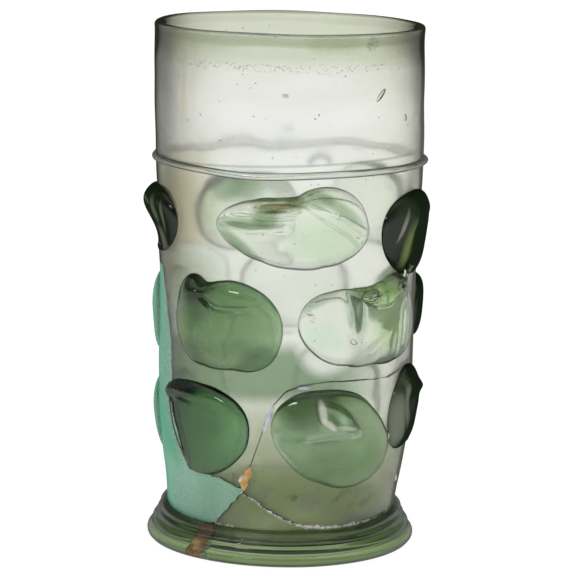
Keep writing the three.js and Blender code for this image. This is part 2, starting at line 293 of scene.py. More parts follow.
def vessel_profile(wall_steps):
    """The blown vessel from under the kick, up the outside, over the lip and down to the floor."""
    floor_height = REST_HEIGHT + FLOOR_THICKNESS
    outside_start = REST_HEIGHT + EDGE_ROUND
    inside_start = floor_height + INSIDE_ROUND
    edge_middle = along(OUTER, outside_start) - EDGE_ROUND
    corner_middle = inner_radius(inside_start) - INSIDE_ROUND
    shares = [i / 24 for i in range(24)]
    kick = [(share * corner_middle, KICK_HEIGHT / 2 * (1 + math.cos(math.pi * share))) for share in shares]
    under = [(radius, rise + REST_HEIGHT) for radius, rise in kick]
    floor = [(radius, rise + floor_height) for radius, rise in reversed(kick)]
    edge = arc(edge_middle, outside_start, EDGE_ROUND, -90, 0, 10)
    corner = arc(corner_middle, inside_start, INSIDE_ROUND, 0, -90, 8)
    half_lip = LIP_WALL / 2
    lip = arc(RIM_RADIUS - half_lip, RIM_HEIGHT - half_lip, half_lip, 0, 180, 12)
    climb = (RIM_HEIGHT - half_lip - outside_start) / wall_steps
    heights = [outside_start + climb * (i + 1) for i in range(wall_steps - 1)]
    outside = [(along(OUTER, height), height) for height in heights]
    inside = [(inner_radius(height), height) for height in reversed(heights)]
    return under + edge + outside + lip + inside + corner + floor


def blown_vessel(sizes):
    """The whole vessel before it broke, with the waves of its making in both faces."""
    bm = turned(vessel_profile(sizes.wall_steps), sizes.round_steps)
    for vert in bm.verts:
        place = vert.co.copy()
        radius = math.hypot(place.x, place.y)
        if radius < 1e-3:
            continue
        outer = along(OUTER, place.z)
        share = min(max((radius - inner_radius(place.z)) / (outer - inner_radius(place.z)), 0.0), 1.0)
        on_wall = smooth(24, 34, radius)
        face = around(bearing(place), outer, place.z)
        wave = share * skin_wave(face) + (1 - share) * hollow_wave(face)
        grow = 1 + on_wall * wave * sizes.waviness / radius
        vert.co.x *= grow
        vert.co.y *= grow
        vert.co.z += smooth(150, RIM_HEIGHT, place.z) * rim_wave(face)
    return bm


def vessel_blank(sizes):
    """The blown vessel's mesh, made once for the sherds and for the panel."""
    return bpy.data.meshes.get("vessel_blank") or new_mesh("vessel_blank", blown_vessel(sizes))


def drawn_out(outline, step):
    """A closed outline of (angle, height) with points no further apart than a step in degrees."""
    points = []
    for (a0, h0), (a1, h1) in zip(outline, outline[1:] + outline[:1]):
        count = max(1, math.ceil(max(abs(a1 - a0), abs(h1 - h0) / PER_DEGREE) / step))
        points += [(a0 + (a1 - a0) * i / count, h0 + (h1 - h0) * i / count) for i in range(count)]
    return points


def broken_edge(outline, rough, seed):
    """An outline made finely irregular, as a broken edge is."""
    points = []
    for angle, height in drawn_out(outline, 0.9):
        place = around(angle, MID_RADIUS, height)
        sideways = rough * ripple(place, 2.6, 2.6, seed) / PER_DEGREE
        points.append((angle + sideways, height + rough * ripple(place, 2.2, 2.2, seed + 7.7)))
    return points


def grown(outline, by):
    """A dense outline of (angle, height) moved outwards by a distance on the wall."""
    flat = [Vector((angle * PER_DEGREE, height)) for angle, height in outline]
    area = sum(a.x * b.y - b.x * a.y for a, b in zip(flat, flat[1:] + flat[:1]))
    side = 1 if area > 0 else -1
    moved = []
    for i, point in enumerate(flat):
        run = (flat[(i + 1) % len(flat)] - flat[i - 1]).normalized()
        point = point + Vector((run.y, -run.x)) * side * by
        moved.append((point.x / PER_DEGREE, point.y))
    return moved


def through_wall(outline):
    """A cutter through the wall over an outline of (angle, height)."""
    bm = bmesh.new()
    ring = [bm.verts.new((angle, height, 0)) for angle, height in outline]
    edges = [bm.edges.new(pair) for pair in zip(ring, ring[1:] + ring[:1])]
    bmesh.ops.triangle_fill(bm, edges=edges, use_beauty=True)
    faces = list(bm.faces)
    for layer in range(1, len(CUT_RADII)):
        made = bmesh.ops.extrude_face_region(bm, geom=faces)["geom"]
        verts = [part for part in made if isinstance(part, bmesh.types.BMVert)]
        inner = [face for face in faces if face.is_valid]
        faces = [part for part in made if isinstance(part, bmesh.types.BMFace)]
        bmesh.ops.translate(bm, verts=verts, vec=(0, 0, 1))
        if layer > 1:
            bmesh.ops.delete(bm, geom=inner, context="FACES_ONLY")
    for vert in bm.verts:
        vert.co = around(vert.co.x, CUT_RADII[round(vert.co.z)], vert.co.y)
    bmesh.ops.remove_doubles(bm, verts=bm.verts, dist=1e-5)
    bmesh.ops.recalc_face_normals(bm, faces=bm.faces)
    return new_mesh("through_wall", bm)


def opening(outline, seed, gap=0.0):
    """A cutter through the wall over a broken outline, a gap wider all round."""
    edge = broken_edge(outline, BREAK_ROUGHNESS, seed)
    return through_wall(grown(edge, gap) if gap else edge)


def parted(mesh, cutter, gap):
    """The mesh above and below a cutter's top, with a gap between them."""
    cutter.transform(Matrix.Translation((0, 0, gap / 2)))
    above = carve(mesh, cutter, "DIFFERENCE")
    cutter.transform(Matrix.Translation((0, 0, -gap)))
    return above, carve(mesh, cutter, "INTERSECT")


def below(crack, seed):
    """A cutter: everything below a crack that runs round the wall, and the kick in its middle."""
    profile = [(0, -10), (CRACK_RADII[0], -10)] + [(radius, 1) for radius in CRACK_RADII] + [(0, 1)]
    bm = turned(profile, CRACK_STEPS)
    start = crack[0][0]
    for vert in bm.verts:
        if vert.co.z < 0:
            continue
        radius = math.hypot(vert.co.x, vert.co.y)
        if radius < 1e-3:
            vert.co.z = crack[0][1] + KICK_HEIGHT
            continue
        angle = bearing(vert.co)
        angle += 360 if angle < start else 0
        place = around(angle, MID_RADIUS, 0)
        rough = 0.30 * ripple(place, 2.4, 9, seed) + 0.12 * ripple(place, 0.8, 9, seed + 3)
        slant = 0.35 * ripple(place, 9, 9, seed + 5) * (radius - 40)
        vert.co.z = straight(crack, angle) + rough + min(max(slant, -1.2), 1.2)
    bmesh.ops.recalc_face_normals(bm, faces=bm.faces)
    return new_mesh("below_crack", bm)


def bubble_mesh():
    """Closed voids inside the wall."""
    bm = bmesh.new()
    for angle, height, long, wide, deep, lean, share in BUBBLES:
        outer = skin(angle, height)
        radius = outer - along(WALL, height) * share
        made = bmesh.ops.create_uvsphere(bm, u_segments=24, v_segments=14, radius=1)
        verts = made["verts"]
        turn = Matrix.Rotation(math.radians(angle), 3, "Z") @ Matrix.Rotation(math.radians(lean), 3, "Y")
        for vert in verts:
            vert.co = turn @ Vector((vert.co.x * wide, vert.co.y * deep, vert.co.z * long))
            vert.co += around(angle, radius, height)
        faces = {face for vert in verts for face in vert.link_faces}
        bmesh.ops.reverse_faces(bm, faces=list(faces))
    return bm


# Bubbles in the neck: angle, height, half length, half width, half depth, lean in degrees and share of
# the wall's depth.
BUBBLES = [
    (41.8, 148.6, 2.6, 0.8, 0.36, 43, 0.5),
    (-1.4, 149, 0.5, 0.95, 0.26, 8, 0.5),
    (57.8, 140.8, 1.1, 0.75, 0.34, -12, 0.55),
    (59.2, 138.2, 0.4, 0.3, 0.25, 0, 0.5),
    (12.4, 143.2, 0.3, 0.28, 0.2, 0, 0.45),
    (-40, 141.5, 0.28, 0.28, 0.2, 0, 0.5),
    (-47.5, 139.3, 0.3, 0.3, 0.22, 0, 0.5),
    (-59.4, 129.4, 0.9, 0.3, 0.3, 0, 0.4),
    (-30, 134.2, 0.2, 0.42, 0.2, 0, 0.5),
    (24, 155, 0.2, 0.3, 0.2, 20, 0.5),
    (-14, 152.5, 0.2, 0.25, 0.2, 0, 0.5),
    (161, 146, 0.6, 0.4, 0.3, 30, 0.5),
    (-132, 151, 0.4, 0.7, 0.3, 10, 0.5),
    (97, 139, 1.3, 0.4, 0.35, -30, 0.5),
]


# How square-shouldered a prunt's dome is; a faint one behind slopes away from its middle. How finely a
# prunt is divided, and how much more finely in front.
FULLNESS = 2.7
FAINT_FULLNESS = 1.7
PRUNT_RINGS = 28
PRUNT_SECTORS = 96
FRONT_FINENESS = 1.5


class Prunt:
    """A glass blob on the wall: where it sits, its outline, how it swells and what marks it."""

    def __init__(self, name, angle, height, stands, outline, marks=(), fine=1, fullness=FULLNESS):
        self.name, self.angle, self.height, self.stands = name, angle, height, stands
        self.marks, self.fine, self.fullness = marks, fine, fullness
        flat = [((a - angle) * PER_DEGREE, h - height) for a, h in outline]
        round_middle = sorted((math.atan2(up, right) % math.tau, math.hypot(right, up)) for right, up in flat)
        self.turns, self.reaches = zip(*round_middle)

    def reach(self, turn):
        """How far the outline lies from the middle in a direction."""
        at = turn % math.tau
        count = len(self.turns)
        i = sum(1 for entry in self.turns if entry <= at) - 1
        start = self.turns[i] if i >= 0 else self.turns[-1] - math.tau
        end = self.turns[(i + 1) % count] + (math.tau if i == count - 1 else 0)
        return curved(self.reaches, i, (at - start) / (end - start))


def ring_outline(angle, height, wide, reach):
    """An outline from eight reaches, from the right and going over the top, widened."""
    points = []
    for i in range(16):
        turn = math.tau * i / 16
        size = curved(reach, i // 2, 0.5 * (i % 2))
        points.append((angle + size * math.cos(turn) * wide / PER_DEGREE, height + size * math.sin(turn)))
    return points


class Bump:
    """A soft rise or dip at a place on a prunt, in millimetres right of and up from its middle."""

    def __init__(self, at, high, wide, tall=None, turn=0):
        self.at = at
        self.high = high
        self.wide = wide
        self.tall = tall or wide
        self.turn = math.radians(turn)

    def rise(self, right, up):
        dx, dy = right - self.at[0], up - self.at[1]
        u = dx * math.cos(self.turn) + dy * math.sin(self.turn)
        v = -dx * math.sin(self.turn) + dy * math.cos(self.turn)
        return self.high * math.exp(-((u / self.wide) ** 2 + (v / self.tall) ** 2) / 2)


class Thread:
    """A fine ridge or groove drawn over a prunt along a line of points."""

    def __init__(self, points, high, wide):
        self.points = [Vector(point) for point in points]
        self.high = high
        self.wide = wide

    def rise(self, right, up):
        place = Vector((right, up))
        nearest = 1e9
        for a, b in zip(self.points, self.points[1:]):
            run = b - a
            t = min(max((place - a).dot(run) / run.length_squared, 0.0), 1.0)
            nearest = min(nearest, (place - a - run * t).length)
        return self.high * math.exp(-((nearest / self.wide) ** 2) / 2)


# The prunts in front: name, angle, height, how far they stand out, outline as angle and height, marks.
FRONT_PRUNTS = [
    ("prunt_upper_front", 2, 107.5, 4.4, [
        (-32, 108.5), (-29, 112), (-22.5, 115), (-15, 116.5), (-5, 117.5), (3, 118), (8, 120), (16, 121),
        (24.5, 119.5), (31.5, 115.5), (35.5, 110), (36.5, 105), (33, 101), (25.5, 97.5), (15, 95.5),
        (2, 95), (-11, 97), (-22, 100.5), (-29.5, 104.5),
    ], [
        Bump((-4.5, 9), 1.3, 5.5, 2.2, 3), Bump((-5, 7), -2.9, 3.8, 0.85, 4),
        Bump((-4.8, 9.9), 0.9, 5, 0.8, 4),
        Bump((-5, 5), 0.8, 4.5, 0.7, 3), Bump((-15.5, 6.2), 0.9, 4, 1.9, 12),
        Thread([(-21.5, 3.8), (-11.3, 4.2)], -0.5, 0.6),
        Bump((2.3, 9), 0.9, 1.1), Thread([(2.3, 11), (2.6, 8.6)], -0.8, 0.7),
        Thread([(2.8, 8.5), (14.5, 3.7), (20.1, 0.1), (22.4, -1.3)], 0.5, 0.42),
        Thread([(2.8, 8.2), (12.3, 1.7), (16.4, -0.9), (20.4, -4.5)], 0.5, 0.42),
        Thread([(-21.4, 1), (-12.4, -0.3), (-2.8, 0.8)], -0.35, 0.8),
        Bump((-12, -1), -0.5, 6, 2.4, -10), Bump((10, 8), 0.6, 7, 3.4, -18), Bump((8, -4), 0.3, 7, 6),
        Bump((17, 1.6), 0.25, 1.3, 0.9), Bump((19.2, -2.2), -0.3, 0.8, 0.6),
    ]),
    ("prunt_middle_front_left", -29.4, 76.2, 4.6, [
        (-57, 74.5), (-55.5, 81), (-51, 88.5), (-46.5, 91), (-41.5, 91), (-37, 89.2), (-31, 90), (-24, 90.5),
        (-15.5, 89), (-8.5, 86), (-3, 80.5), (-1.5, 75.5), (-2.5, 70.5), (-6, 65.5), (-12.5, 62.5),
        (-24, 62), (-37, 62), (-46.5, 63.5), (-53.5, 68.5),
    ], [
        Bump((-9.5, 9.5), 2.0, 3.2, 4.2, 20), Bump((-6, 10.8), 0.8, 3.4, 1.6, 10),
        Thread([(-4.2, 8.6), (-2.4, 6.8), (0.7, 5.5), (9.5, 6)], -0.9, 0.6),
        Thread([(-4.6, 7.6), (-2.6, 5.6), (1, 4.3), (9, 4.8)], 0.5, 0.9), Bump((3, 9.5), 0.5, 6, 2.6, -6),
        Bump((-12, 0), 0.4, 3, 7),
    ]),
    ("prunt_middle_front_right", 40.3, 76.2, 4.4, [
        (5, 76.5), (6.5, 82), (11.5, 86), (19.5, 88), (29, 88.5), (38, 88.8), (46, 90), (52, 91.5),
        (57, 91.8), (63, 89), (70, 82), (73.5, 73), (69, 67.5), (55, 63.5), (41, 63.5), (27.5, 64),
        (18, 65.5), (11, 69), (6.5, 73),
    ], [
        Bump((0, 9), 1.3, 5, 2.6, 6), Bump((-0.6, 9), -1.6, 2.6, 1.0, 8), Bump((1.4, 8.8), 1.2, 0.9, 0.8),
        Bump((-2.6, 9.2), 0.8, 0.8, 0.7),
        Thread([(-4.8, 10.2), (-0.5, 10.6), (3.4, 9.2), (3, 7.4), (-1, 7), (-4.4, 8.2)], 0.7, 0.5),
        Thread([(11.5, 15), (7.3, 10.9), (4, 8.3)], 1.0, 0.6), Bump((9.5, 12.5), 1.4, 2.6, 2.2, 30),
        Thread([(-10.5, 11.5), (-8.4, 5), (-7.7, -2.7)], -0.9, 1.0),
        Thread([(-6.1, 11.2), (-6.6, 4), (-7.4, -2.4)], 0.5, 0.7),
        Thread([(-24.8, 4), (-21.2, 4)], 0.5, 0.35), Thread([(11, 13), (4, -2), (-2, -8)], 0.4, 1.2),
        Thread([(11.2, 13), (8, 0), (8.3, -9.6)], 0.4, 1.1), Thread([(12, 12), (13, 0), (13, -7)], 0.35, 1.0),
    ]),
    ("prunt_lower_front_left", -39.5, 41.5, 4.4, [
        (-68, 50), (-60, 55), (-50, 56.5), (-40, 56.5), (-29, 55), (-21.5, 52), (-17, 48), (-15.5, 43.5),
        (-17, 37.5), (-21.5, 33), (-28.5, 29), (-38.5, 26.5), (-48.5, 26.5), (-58, 31), (-66, 40),
    ], [
        Bump((-9, 12.2), 1.6, 4.4, 1.8, -4), Bump((-6, 10.4), -0.9, 3.4, 0.8, -6),
        Bump((-12.5, 11.6), 0.9, 1.4, 1.6), Bump((8.3, 11.5), 0.35, 4, 1.6, -25), Bump((2, -3), 0.3, 7, 6),
    ]),
    ("prunt_lower_front_right", 24, 40.2, 4.5, [
        (0.5, 53.5), (7, 56), (16, 56.8), (25.5, 56.5), (33, 55), (42, 50), (49, 44.5), (53.5, 39),
        (53.5, 32.5), (49, 28), (40, 25), (28.5, 24), (18, 26), (8.5, 29), (1.5, 33.5),
        (-4, 39), (-6, 45.5), (-3.5, 50.5),
    ], [
        Bump((-1.2, 7.6), 1.5, 4.6, 2.3, -42), Bump((-1.6, 7.4), -1.3, 2.6, 1.1, -48),
        Bump((2.6, 4.8), 0.7, 1.9, 0.8, -30),
        Thread([(-5.9, 12.4), (-2.2, 10.8), (1.6, 8), (4.9, 3.8)], 0.5, 0.7),
        Bump((-12, 7), 0.9, 4.4, 3.6, -20),
        Thread([(-9.3, 1.1), (-2.3, 2), (4.5, 0.8)], -0.5, 0.9), Bump((0, -6), 0.4, 9, 5),
        Bump((8, -3), -0.25, 3, 4), Thread([(6, 3.4), (18, 3.2)], -0.12, 0.3),
    ]),
]

# The prunts at the sides and behind: angle, height, how far they stand out, how much wider than tall,
# eight reaches from the right and going over the top, and marks.
SIDE_PRUNTS = [
    ("prunt_upper_right", 67, 103, 4.4, 1.25, [13.6, 15, 14, 14.6, 13, 12.4, 13, 13.6], [
        Bump((-8, 2), 1.2, 2.6, 6, -16), Bump((-3, 7), 1.2, 3.4, 2.6), Bump((-4.6, -2), -1.0, 2.2, 5.5, -14),
        Bump((3, 9), 1.1, 3, 2.4), Thread([(-8, -11.5), (-6.4, -5), (-7.4, 3), (-4, 8.6)], 0.6, 0.9),
    ]),
    ("prunt_upper_back_right", 132, 105.5, 4.7, 1.3, [14, 14.6, 13, 14.8, 14, 13.6, 13.2, 14], [
        Bump((-2, 8), 1.4, 4.6, 3), Bump((-1, 6), -1, 3, 1),
    ]),
    ("prunt_upper_back_left", -157, 100.4, 4.7, 1.4, [13.6, 14.8, 12.6, 14, 13.4, 13.8, 12.6, 13.4], [
        Bump((3, 7), 1.4, 4.6, 3), Bump((4, 5.2), -1, 3, 1),
    ]),
    ("prunt_upper_left", -80, 105.2, 4.3, 1.35, [12.6, 12.6, 10.8, 12.6, 12.8, 12.2, 10.4, 11.4], [
        Bump((-4, -5.5), -2.6, 10, 4.2), Bump((-4, 5.4), 0.9, 8, 2.6),
        Bump((9, 6), 0.9, 3, 3), Bump((2, 8.6), 1.3, 3, 2), Bump((4, -5), -0.5, 2.4, 4),
        Bump((-2, 4), 0.5, 3, 3), Bump((11, 1), -0.5, 1.6, 3),
    ]),
    ("prunt_middle_right", 108, 77, 4.3, 1.45, [12, 12, 9.8, 11, 11.8, 12.4, 11.6, 12.6], [
        Bump((1, 6), 1.4, 4.6, 3), Bump((2, 4), -1, 3, 1),
    ]),
    ("prunt_middle_back", 176, 74.6, 4.8, 1.45, [13.2, 14.4, 13, 14.6, 13, 13.8, 13.2, 14], [
        Bump((-2, 8), 1.4, 4.6, 3), Bump((-2, 6), -1, 3, 1),
    ]),
    ("prunt_lower_right", 67.5, 45.4, 4.3, 0.8, [14, 16.5, 15, 13, 12.8, 13.5, 11.8, 13], [
        Bump((5.3, 8), 1.3, 1.3, 1.3), Bump((-2, 9), 1.1, 2.6, 2.2), Bump((-3.6, 3), -1.0, 1.6, 4, -14),
        Thread([(-7, 8), (-5.4, 2), (-5, -7)], 0.5, 0.8), Thread([(1, 5), (-0.5, -2), (0.5, -9)], 0.45, 0.7),
    ]),
    ("prunt_lower_back", 150, 42, 4.4, 1.3, [14.2, 15, 14, 14.6, 14.2, 14.4, 14, 14.6], [
        Bump((2, 8), 1.4, 4.6, 3), Bump((2, 6), -1, 3, 1),
    ]),
]
RESIN_PRUNTS = [
    ("resin_prunt_middle", -106, 72.6, 3.4, 1.2, [13.2, 14.2, 13.6, 14.6, 13.4, 14, 13.4, 13.8], [
        Bump((1, 3), 1.3, 4, 3), Bump((4, 2), -0.4, 2, 3),
    ]),
    ("resin_prunt_lower", -111, 38.2, 3.7, 1.25, [13.2, 14.2, 13.2, 14, 13.4, 14.2, 13.4, 14], [
        Bump((1, 3), 1.3, 4, 3), Bump((5, -1), -0.4, 2, 3),
    ]),
]


def prunt_from_row(row):
    name, angle, height, stands, wide, reach, marks = row
    outline = ring_outline(angle, height, wide, reach)
    fullness = FAINT_FULLNESS if PRUNT_TONES.get(name) == "faint" else FULLNESS
    return Prunt(name, angle, height, stands, outline, marks, fullness=fullness)


def prunt_mesh(prunt):
    """A prunt laid on the wall: a ball drawn out to its outline, flat behind and domed in front."""
    bm = bmesh.new()
    rings, sectors = round(PRUNT_RINGS * prunt.fine), round(PRUNT_SECTORS * prunt.fine)
    bmesh.ops.create_uvsphere(bm, u_segments=sectors, v_segments=2 * rings, radius=1)
    reaches = {}
    for vert in bm.verts:
        x, y, z = vert.co
        turn = round(math.atan2(y, x), 5)
        if turn not in reaches:
            reaches[turn] = prunt.reach(turn)
        share = math.acos(min(1.0, abs(z))) / (math.pi / 2)
        out = share * (2 - share)
        right = out * reaches[turn] * math.cos(turn)
        up = out * reaches[turn] * math.sin(turn)
        level = prunt.height + up
        angle = prunt.angle + right / PER_DEGREE
        rise = -SUNK
        if z > 1e-5:
            dome = math.sqrt(max(0.0, 1 - out ** prunt.fullness))
            marks = sum(mark.rise(right, up) for mark in prunt.marks)
            swell = prunt.stands * (1 + 0.012 * up) - 0.7
            wave = 0.18 * noise.noise(Vector((right / 7, up / 7, prunt.angle)))
            rise += dome * (swell + wave) + marks * smooth(0.05, 0.7, dome)
        vert.co = around(angle, skin(angle, level) + rise, level)
    return bm


def rgba(colour):
    """A colour ready for a socket: a Wire, or a tuple made opaque."""
    return colour if isinstance(colour, Wire) else (*colour[:3], 1)


class Wire:
    """A number that flows through a shader. Arithmetic on it adds the nodes."""

    def __init__(self, nodes, socket):
        self.nodes = nodes
        self.socket = socket

    def math(self, operation, *others, clamp=False):
        return self.nodes.math(operation, self, *others, clamp=clamp)

    def __add__(self, other):
        return self.math("ADD", other)

    def __sub__(self, other):
        return self.math("SUBTRACT", other)

    def __rsub__(self, other):
        return self.nodes.math("SUBTRACT", other, self)

    def __mul__(self, other):
        return self.math("MULTIPLY", other)

    def __truediv__(self, other):
        return self.math("DIVIDE", other)

    def __pow__(self, other):
        return self.math("POWER", other)

    __radd__ = __add__
    __rmul__ = __mul__

    def clamp(self):
        return self.math("ADD", 0.0, clamp=True)

    def most(self, other):
        return self.math("MAXIMUM", other)


class Nodes:
    """A node tree while it is put together."""

    def __init__(self, tree):
        self.tree = tree
        tree.nodes.clear()

    def add(self, kind, inputs, settings):
        """Adds a node, sets it up and joins its inputs."""
        made = self.tree.nodes.new(kind)
        for name, value in settings.items():
            setattr(made, name, value)
        for name, value in inputs.items():
            if isinstance(value, Wire):
                self.tree.links.new(value.socket, made.inputs[name])
            else:
                made.inputs[name].default_value = value
        return made

    def node(self, kind, inputs, output=0, **settings):
        """Adds a node and returns one of its outputs."""
        return Wire(self, self.add(kind, inputs, settings).outputs[output])

    def math(self, operation, *values, clamp=False):
        return self.node("ShaderNodeMath", dict(enumerate(values)), operation=operation, use_clamp=clamp)

    def vector(self, operation, first, second, output="Vector"):
        return self.node("ShaderNodeVectorMath", {0: first, 1: second}, output, operation=operation)


class Finish(Nodes):
    """One material while its nodes are put together."""

    def __init__(self, name):
        self.material = bpy.data.materials.new(name)
        self.material.use_nodes = True
        super().__init__(self.material.node_tree)
        coordinates = self.node("ShaderNodeTexCoord", {}, "Object")
        self.place = self.node("ShaderNodeVectorMath", {0: coordinates, "Scale": 1 / MM}, operation="SCALE")
        self.x, self.y, self.height = (
            self.node("ShaderNodeSeparateXYZ", {0: self.place}, axis) for axis in "XYZ"
        )

    def step(self, value, low, high):
        """0 at low, 1 at high and a soft step between; low may be the greater."""
        inputs = {"Value": value, "From Min": low, "From Max": high}
        if low > high:
            inputs = {"Value": value, "From Min": high, "From Max": low, "To Min": 1.0, "To Max": 0.0}
        return self.node("ShaderNodeMapRange", inputs, interpolation_type="SMOOTHSTEP")

    def ramp(self, value, low, high):
        """0 at low, 1 at high and a straight climb between."""
        return self.node("ShaderNodeMapRange", {"Value": value, "From Min": low, "From Max": high})

    def band(self, value, middle, half, soft):
        """1 within half of a middle value, fading over a soft edge."""
        return self.step((value - middle).math("ABSOLUTE"), half + soft, half)

    def clouds(self, scale, detail=3.0, rough=0.55, stretch=(1, 1, 1), seed=0.0):
        """Soft random clouds between 0 and 1, at so many to the millimetre."""
        vector = self.vector("MULTIPLY", self.place, stretch)
        moved = self.vector("ADD", vector, (seed, seed * 1.7, -seed))
        inputs = {"Vector": moved, "Scale": scale, "Detail": detail, "Roughness": rough}
        return self.node("ShaderNodeTexNoise", inputs)

    def seeds(self, scale, size, keep, seed=0.0):
        """Scattered round specks: 1 inside one. Keep is the share of cells that hold a speck."""
        inputs = {"Vector": self.vector("ADD", self.place, (seed, -seed, seed * 0.7)), "Scale": scale}
        cell = self.node("ShaderNodeTexVoronoi", inputs, "Distance")
        chance = self.node("ShaderNodeSeparateColor", {0: self.node("ShaderNodeTexVoronoi", inputs, "Color")})
        return self.step(cell, size, size * 0.6) * self.step(chance, keep, keep - 0.01)

    def inside(self):
        """1 on the vessel's inner face and 0 on its outer face."""
        middle = 35.8 + 3.9 * self.ramp(self.height, 13, 42) + 0.5 * self.ramp(self.height, 42, 84)
        middle = middle + 2.1 * self.ramp(self.height, 84, 132)
        radius = (self.x * self.x + self.y * self.y).math("SQRT")
        return self.step(radius - middle, 0.3, -0.3)

    def outline(self, full, power):
        """Grows to 1 as the surface turns away from the eye, where dark edges are painted as shade."""
        facing = self.node("ShaderNodeLayerWeight", {"Blend": 0.5}, "Facing")
        return ((facing / full) ** power).math("MINIMUM", 1.0)

    def away_from(self, angle, radius, height):
        """The distance from a point in millimetres."""
        return self.vector("DISTANCE", self.place, tuple(around(angle, radius, height)), "Value")

    def spot(self, angle, radius, height, size, soft):
        """1 within a size of a point, fading over a soft edge."""
        return self.step(self.away_from(angle, radius, height), size + soft, size)

    def patch(self, prunt, right, up, wide, tall, turn):
        """1 within a soft-edged ellipse on a prunt, in millimetres right of and up from its middle."""
        angle = prunt.angle + right / PER_DEGREE
        centre = around(angle, along(OUTER, prunt.height) + 4, prunt.height + up)
        lean = math.radians(turn)
        level = around(angle + 90, 1, 0)
        long_way = (level * math.cos(lean) + Vector((0, 0, math.sin(lean)))) / wide
        short_way = (Vector((0, 0, math.cos(lean))) - level * math.sin(lean)) / tall
        away = self.vector("SUBTRACT", self.place, tuple(centre))
        u, v = (self.vector("DOT_PRODUCT", away, tuple(axis), "Value") for axis in (long_way, short_way))
        return self.step(u * u + v * v, 2.4, 0.0)

    def blend(self, factor, first, second, kind="MIX"):
        """Two colours mixed; each is a tuple or a Wire."""
        settings = {"data_type": "RGBA", "blend_type": kind, "clamp_factor": True}
        return self.node("ShaderNodeMix", {0: factor, 6: rgba(first), 7: rgba(second)}, 2, **settings)

    def stained(self, colour, *stains):
        """A colour darkened by stains, each an amount and the tint of the full stain."""
        for amount, tint in stains:
            colour = self.blend(amount, colour, tint, "MULTIPLY")
        return colour

    def surface(self, colour, roughness, **sockets):
        """A Principled surface. Names are its sockets with spaces as underscores."""
        inputs = {"Base Color": rgba(colour), "Roughness": roughness}
        inputs.update({name.replace("_", " "): value for name, value in sockets.items()})
        return self.node("ShaderNodeBsdfPrincipled", inputs)

    def matt(self, colour):
        """A dull surface that mirrors nothing."""
        return self.surface(colour, 0.9, Specular_IOR_Level=0.0)

    def glass(self, colour, roughness, **sockets):
        return self.surface(colour, roughness, Transmission_Weight=1.0, IOR=1.51, **sockets)

    def mixed(self, factor, first, second):
        return self.node("ShaderNodeMixShader", {0: factor, 1: first, 2: second})

    def with_painted_edge_shade(self, surface, colour, full, power, depth=1.0):
        """A surface with a painted dark matt outline where it turns away from the eye: painted shade."""
        return self.mixed(self.outline(full, power) * depth, surface, self.matt(colour))

    def bump(self, height, strength, distance):
        inputs = {"Height": height, "Strength": strength, "Distance": distance * MM}
        return self.node("ShaderNodeBump", inputs)

    def done(self, surface, loss=None):
        """Joins the surface, and the light lost to each millimetre of glass in red, green and blue."""
        ends = {"Surface": surface}
        if loss:
            most = max(loss)
            inputs = {"Color": (*(1 - part / most for part in loss), 1), "Density": most / MM}
            ends["Volume"] = self.node("ShaderNodeVolumeAbsorption", inputs)
        self.add("ShaderNodeOutputMaterial", ends, {})
        return self.material


WHITE = (1, 1, 1)


